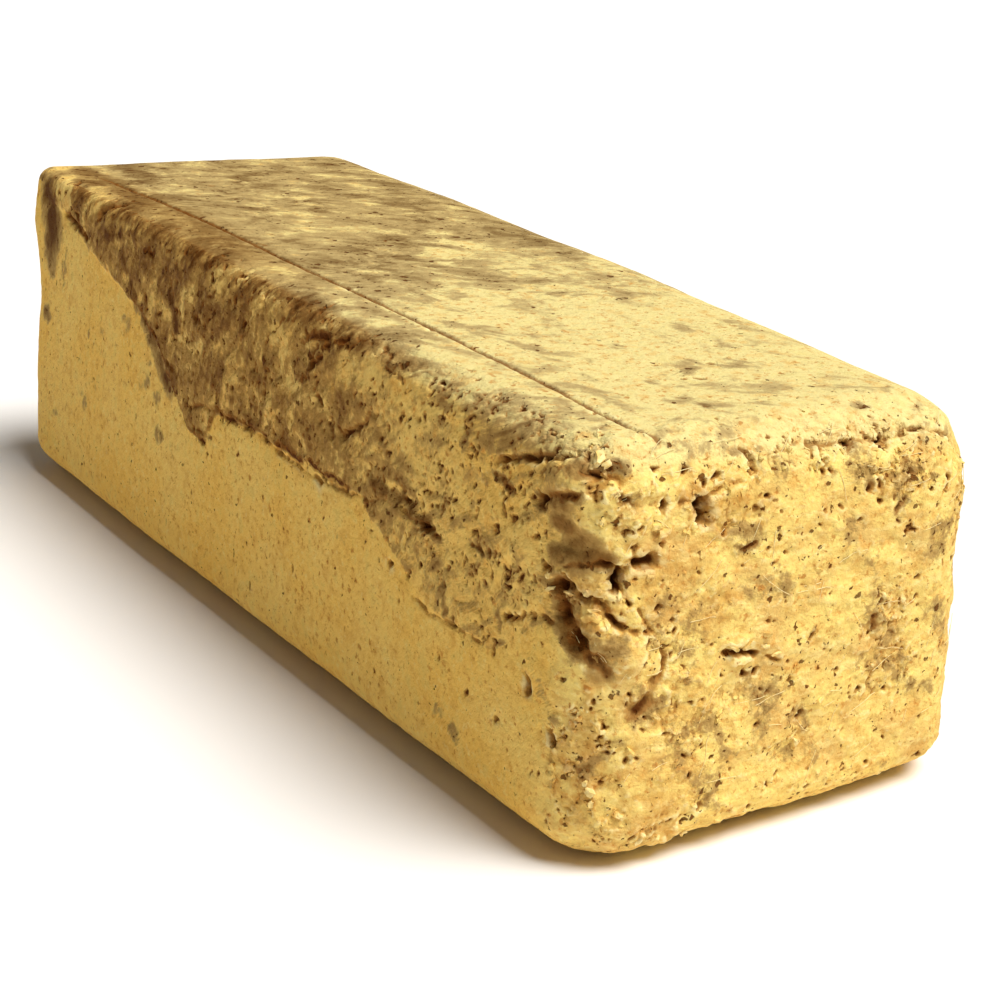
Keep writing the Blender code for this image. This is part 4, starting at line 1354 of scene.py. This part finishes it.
def halva_material():
    """Sesame halva, pulled and pressed: a dull, slightly oily pale golden paste with streaks of
    cocoa, fine drawn-out pores and fibres along its layers. Its pores, holes, crevices and crease
    are darkened to red-brown inside with painted shade, painted highlights and shade follow its
    relief, and its top is paled with a painted sheen."""
    material, tree, shader = new_material("marbled_sesame_halva", roughness=0.55, shine=0.01)
    here = read_halva(tree)
    amount = cocoa_share(tree, here)
    dot, pore = dots_and_pores(tree, here, amount)
    dotted = node(tree, "Math", dot, 0.75, operation="MULTIPLY")
    colour = node(tree, "Mix", dotted, paste_colour(tree, here), "#B8742E", data_type="RGBA")

    # cocoa, from a thin brown veil to the deepest streaks, then the pores
    thin = cocoa_tone(tree, here, "#B08D52", "#B89C66", "#AE8444")
    brown = cocoa_tone(tree, here, "#86622F", "#8E7244", "#835A2B")
    colour = laid_over(tree, colour, thin, amount, 0.14, 0.44, 0.9)
    colour = laid_over(tree, colour, brown, amount, 0.40, 0.74, 0.9)
    colour = laid_over(tree, colour, "#5C340F", amount, 0.72, 1.05, 0.85)
    # painted shade: the pores are darkened inside
    in_pore = node(tree, "Math", pore, 0.85, operation="MULTIPLY")
    colour = node(tree, "Mix", in_pore, colour, "#633611", data_type="RGBA")

    # painted shade: hollows are darkened to red-brown, and near black at their deepest
    depth = node(tree, "Math", here.uneven, 0.6, here.hollow, operation="MULTIPLY_ADD")
    colour = laid_over(tree, colour, "#8E5722", depth, 0.12, 0.40, 0.6)
    colour = laid_over(tree, colour, "#54290C", depth, 0.50, 0.95, 0.95)
    fill(tree, shader.inputs["Base Color"], colour)

    # relief too fine for the mesh: fibres, grain and pores, in mm
    fibrous = node(tree, "Math", here.lively, 0.45, 0.10, operation="MULTIPLY_ADD")
    bumps = node(tree, "Math", fibrous, here.fibres, operation="MULTIPLY")
    for pattern, height in ((here.fine_grain, 0.22), (here.grain, 0.6), (pore, -0.5)):
        bumps = node(tree, "Math", pattern, height, bumps, operation="MULTIPLY_ADD")
    fill(tree, shader.inputs["Normal"], node(tree, "Bump", Strength=0.9, Distance=MM, Height=bumps))
    return material


def flake_material():
    """A flake of bare sesame paste: pale and dull, with tones over 1 mm."""
    material, tree, shader = new_material("pale_halva_flake", roughness=0.5, shine=0.2)
    place = node(tree, "TexCoord").outputs["Object"]
    tone = node(tree, "TexNoise", place, Scale=900.0, Detail=3.0, Roughness=0.55)
    fill(tree, shader.inputs["Base Color"], laid_over(tree, "#F8E09A", "#E9C670", tone, 0.35, 0.65))
    return material


def thread_material():
    """A pulled sugar thread: pale, with a faint gloss, and too thin to show any pattern."""
    material, tree, shader = new_material("pale_sugar_thread", roughness=0.45, shine=0.2)
    fill(tree, shader.inputs["Base Color"], "#F6E2A2")
    return material


# ---------------------------------------------------------------- stage

def set_stage():
    """Pale floor, one broad soft lamp from above, and the camera."""
    bpy.ops.object.select_all(action="DESELECT")
    bpy.ops.mesh.primitive_plane_add(size=FLOOR_SIZE, location=(0, 0, -FLOOR_GAP))
    floor = bpy.context.object
    floor.name = "floor"
    material, tree, shader = new_material("pale_floor", roughness=0.9, shine=0.0)
    fill(tree, shader.inputs["Base Color"], "#FAF6F0")
    floor.data.materials.append(material)

    world = bpy.data.worlds.new("pale_room")
    world.use_nodes = True
    background = world.node_tree.nodes["Background"]
    background.inputs["Color"].default_value = linear("#FFFFFF")
    background.inputs["Strength"].default_value = ROOM_LIGHT
    bpy.context.scene.world = world
    bpy.context.scene.view_settings.view_transform = "Standard"

    lamp = bpy.data.lights.new("key", "SUN")
    lamp.energy = LAMP_STRENGTH
    lamp.angle = LAMP_BREADTH
    light = bpy.data.objects.new("key", lamp)
    light.rotation_euler = TO_LAMP.to_track_quat("Z", "Y").to_euler()
    bpy.context.scene.collection.objects.link(light)

    camera_data = bpy.data.cameras.new("camera")
    camera_data.lens = LENS_MM
    camera_data.sensor_width = 36.0
    camera_data.clip_start = 0.01
    camera = bpy.data.objects.new("camera", camera_data)
    look = (CAMERA_AIM - CAMERA_PLACE).to_track_quat("-Z", "Y")
    camera.location = CAMERA_PLACE
    camera.rotation_euler = (look @ Quaternion((0.0, 0.0, 1.0), CAMERA_ROLL)).to_euler()
    bpy.context.scene.collection.objects.link(camera)
    bpy.context.scene.camera = camera


halva = halva_material()
loaf_skin = make_loaf()
loaf_skin.data.materials.append(halva)
for piece in (loaf_skin, make_crumbs(loaf_skin, halva), make_flakes(loaf_skin), make_threads(loaf_skin)):
    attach(piece, "root")
    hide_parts("halva_loaf")
set_stage()
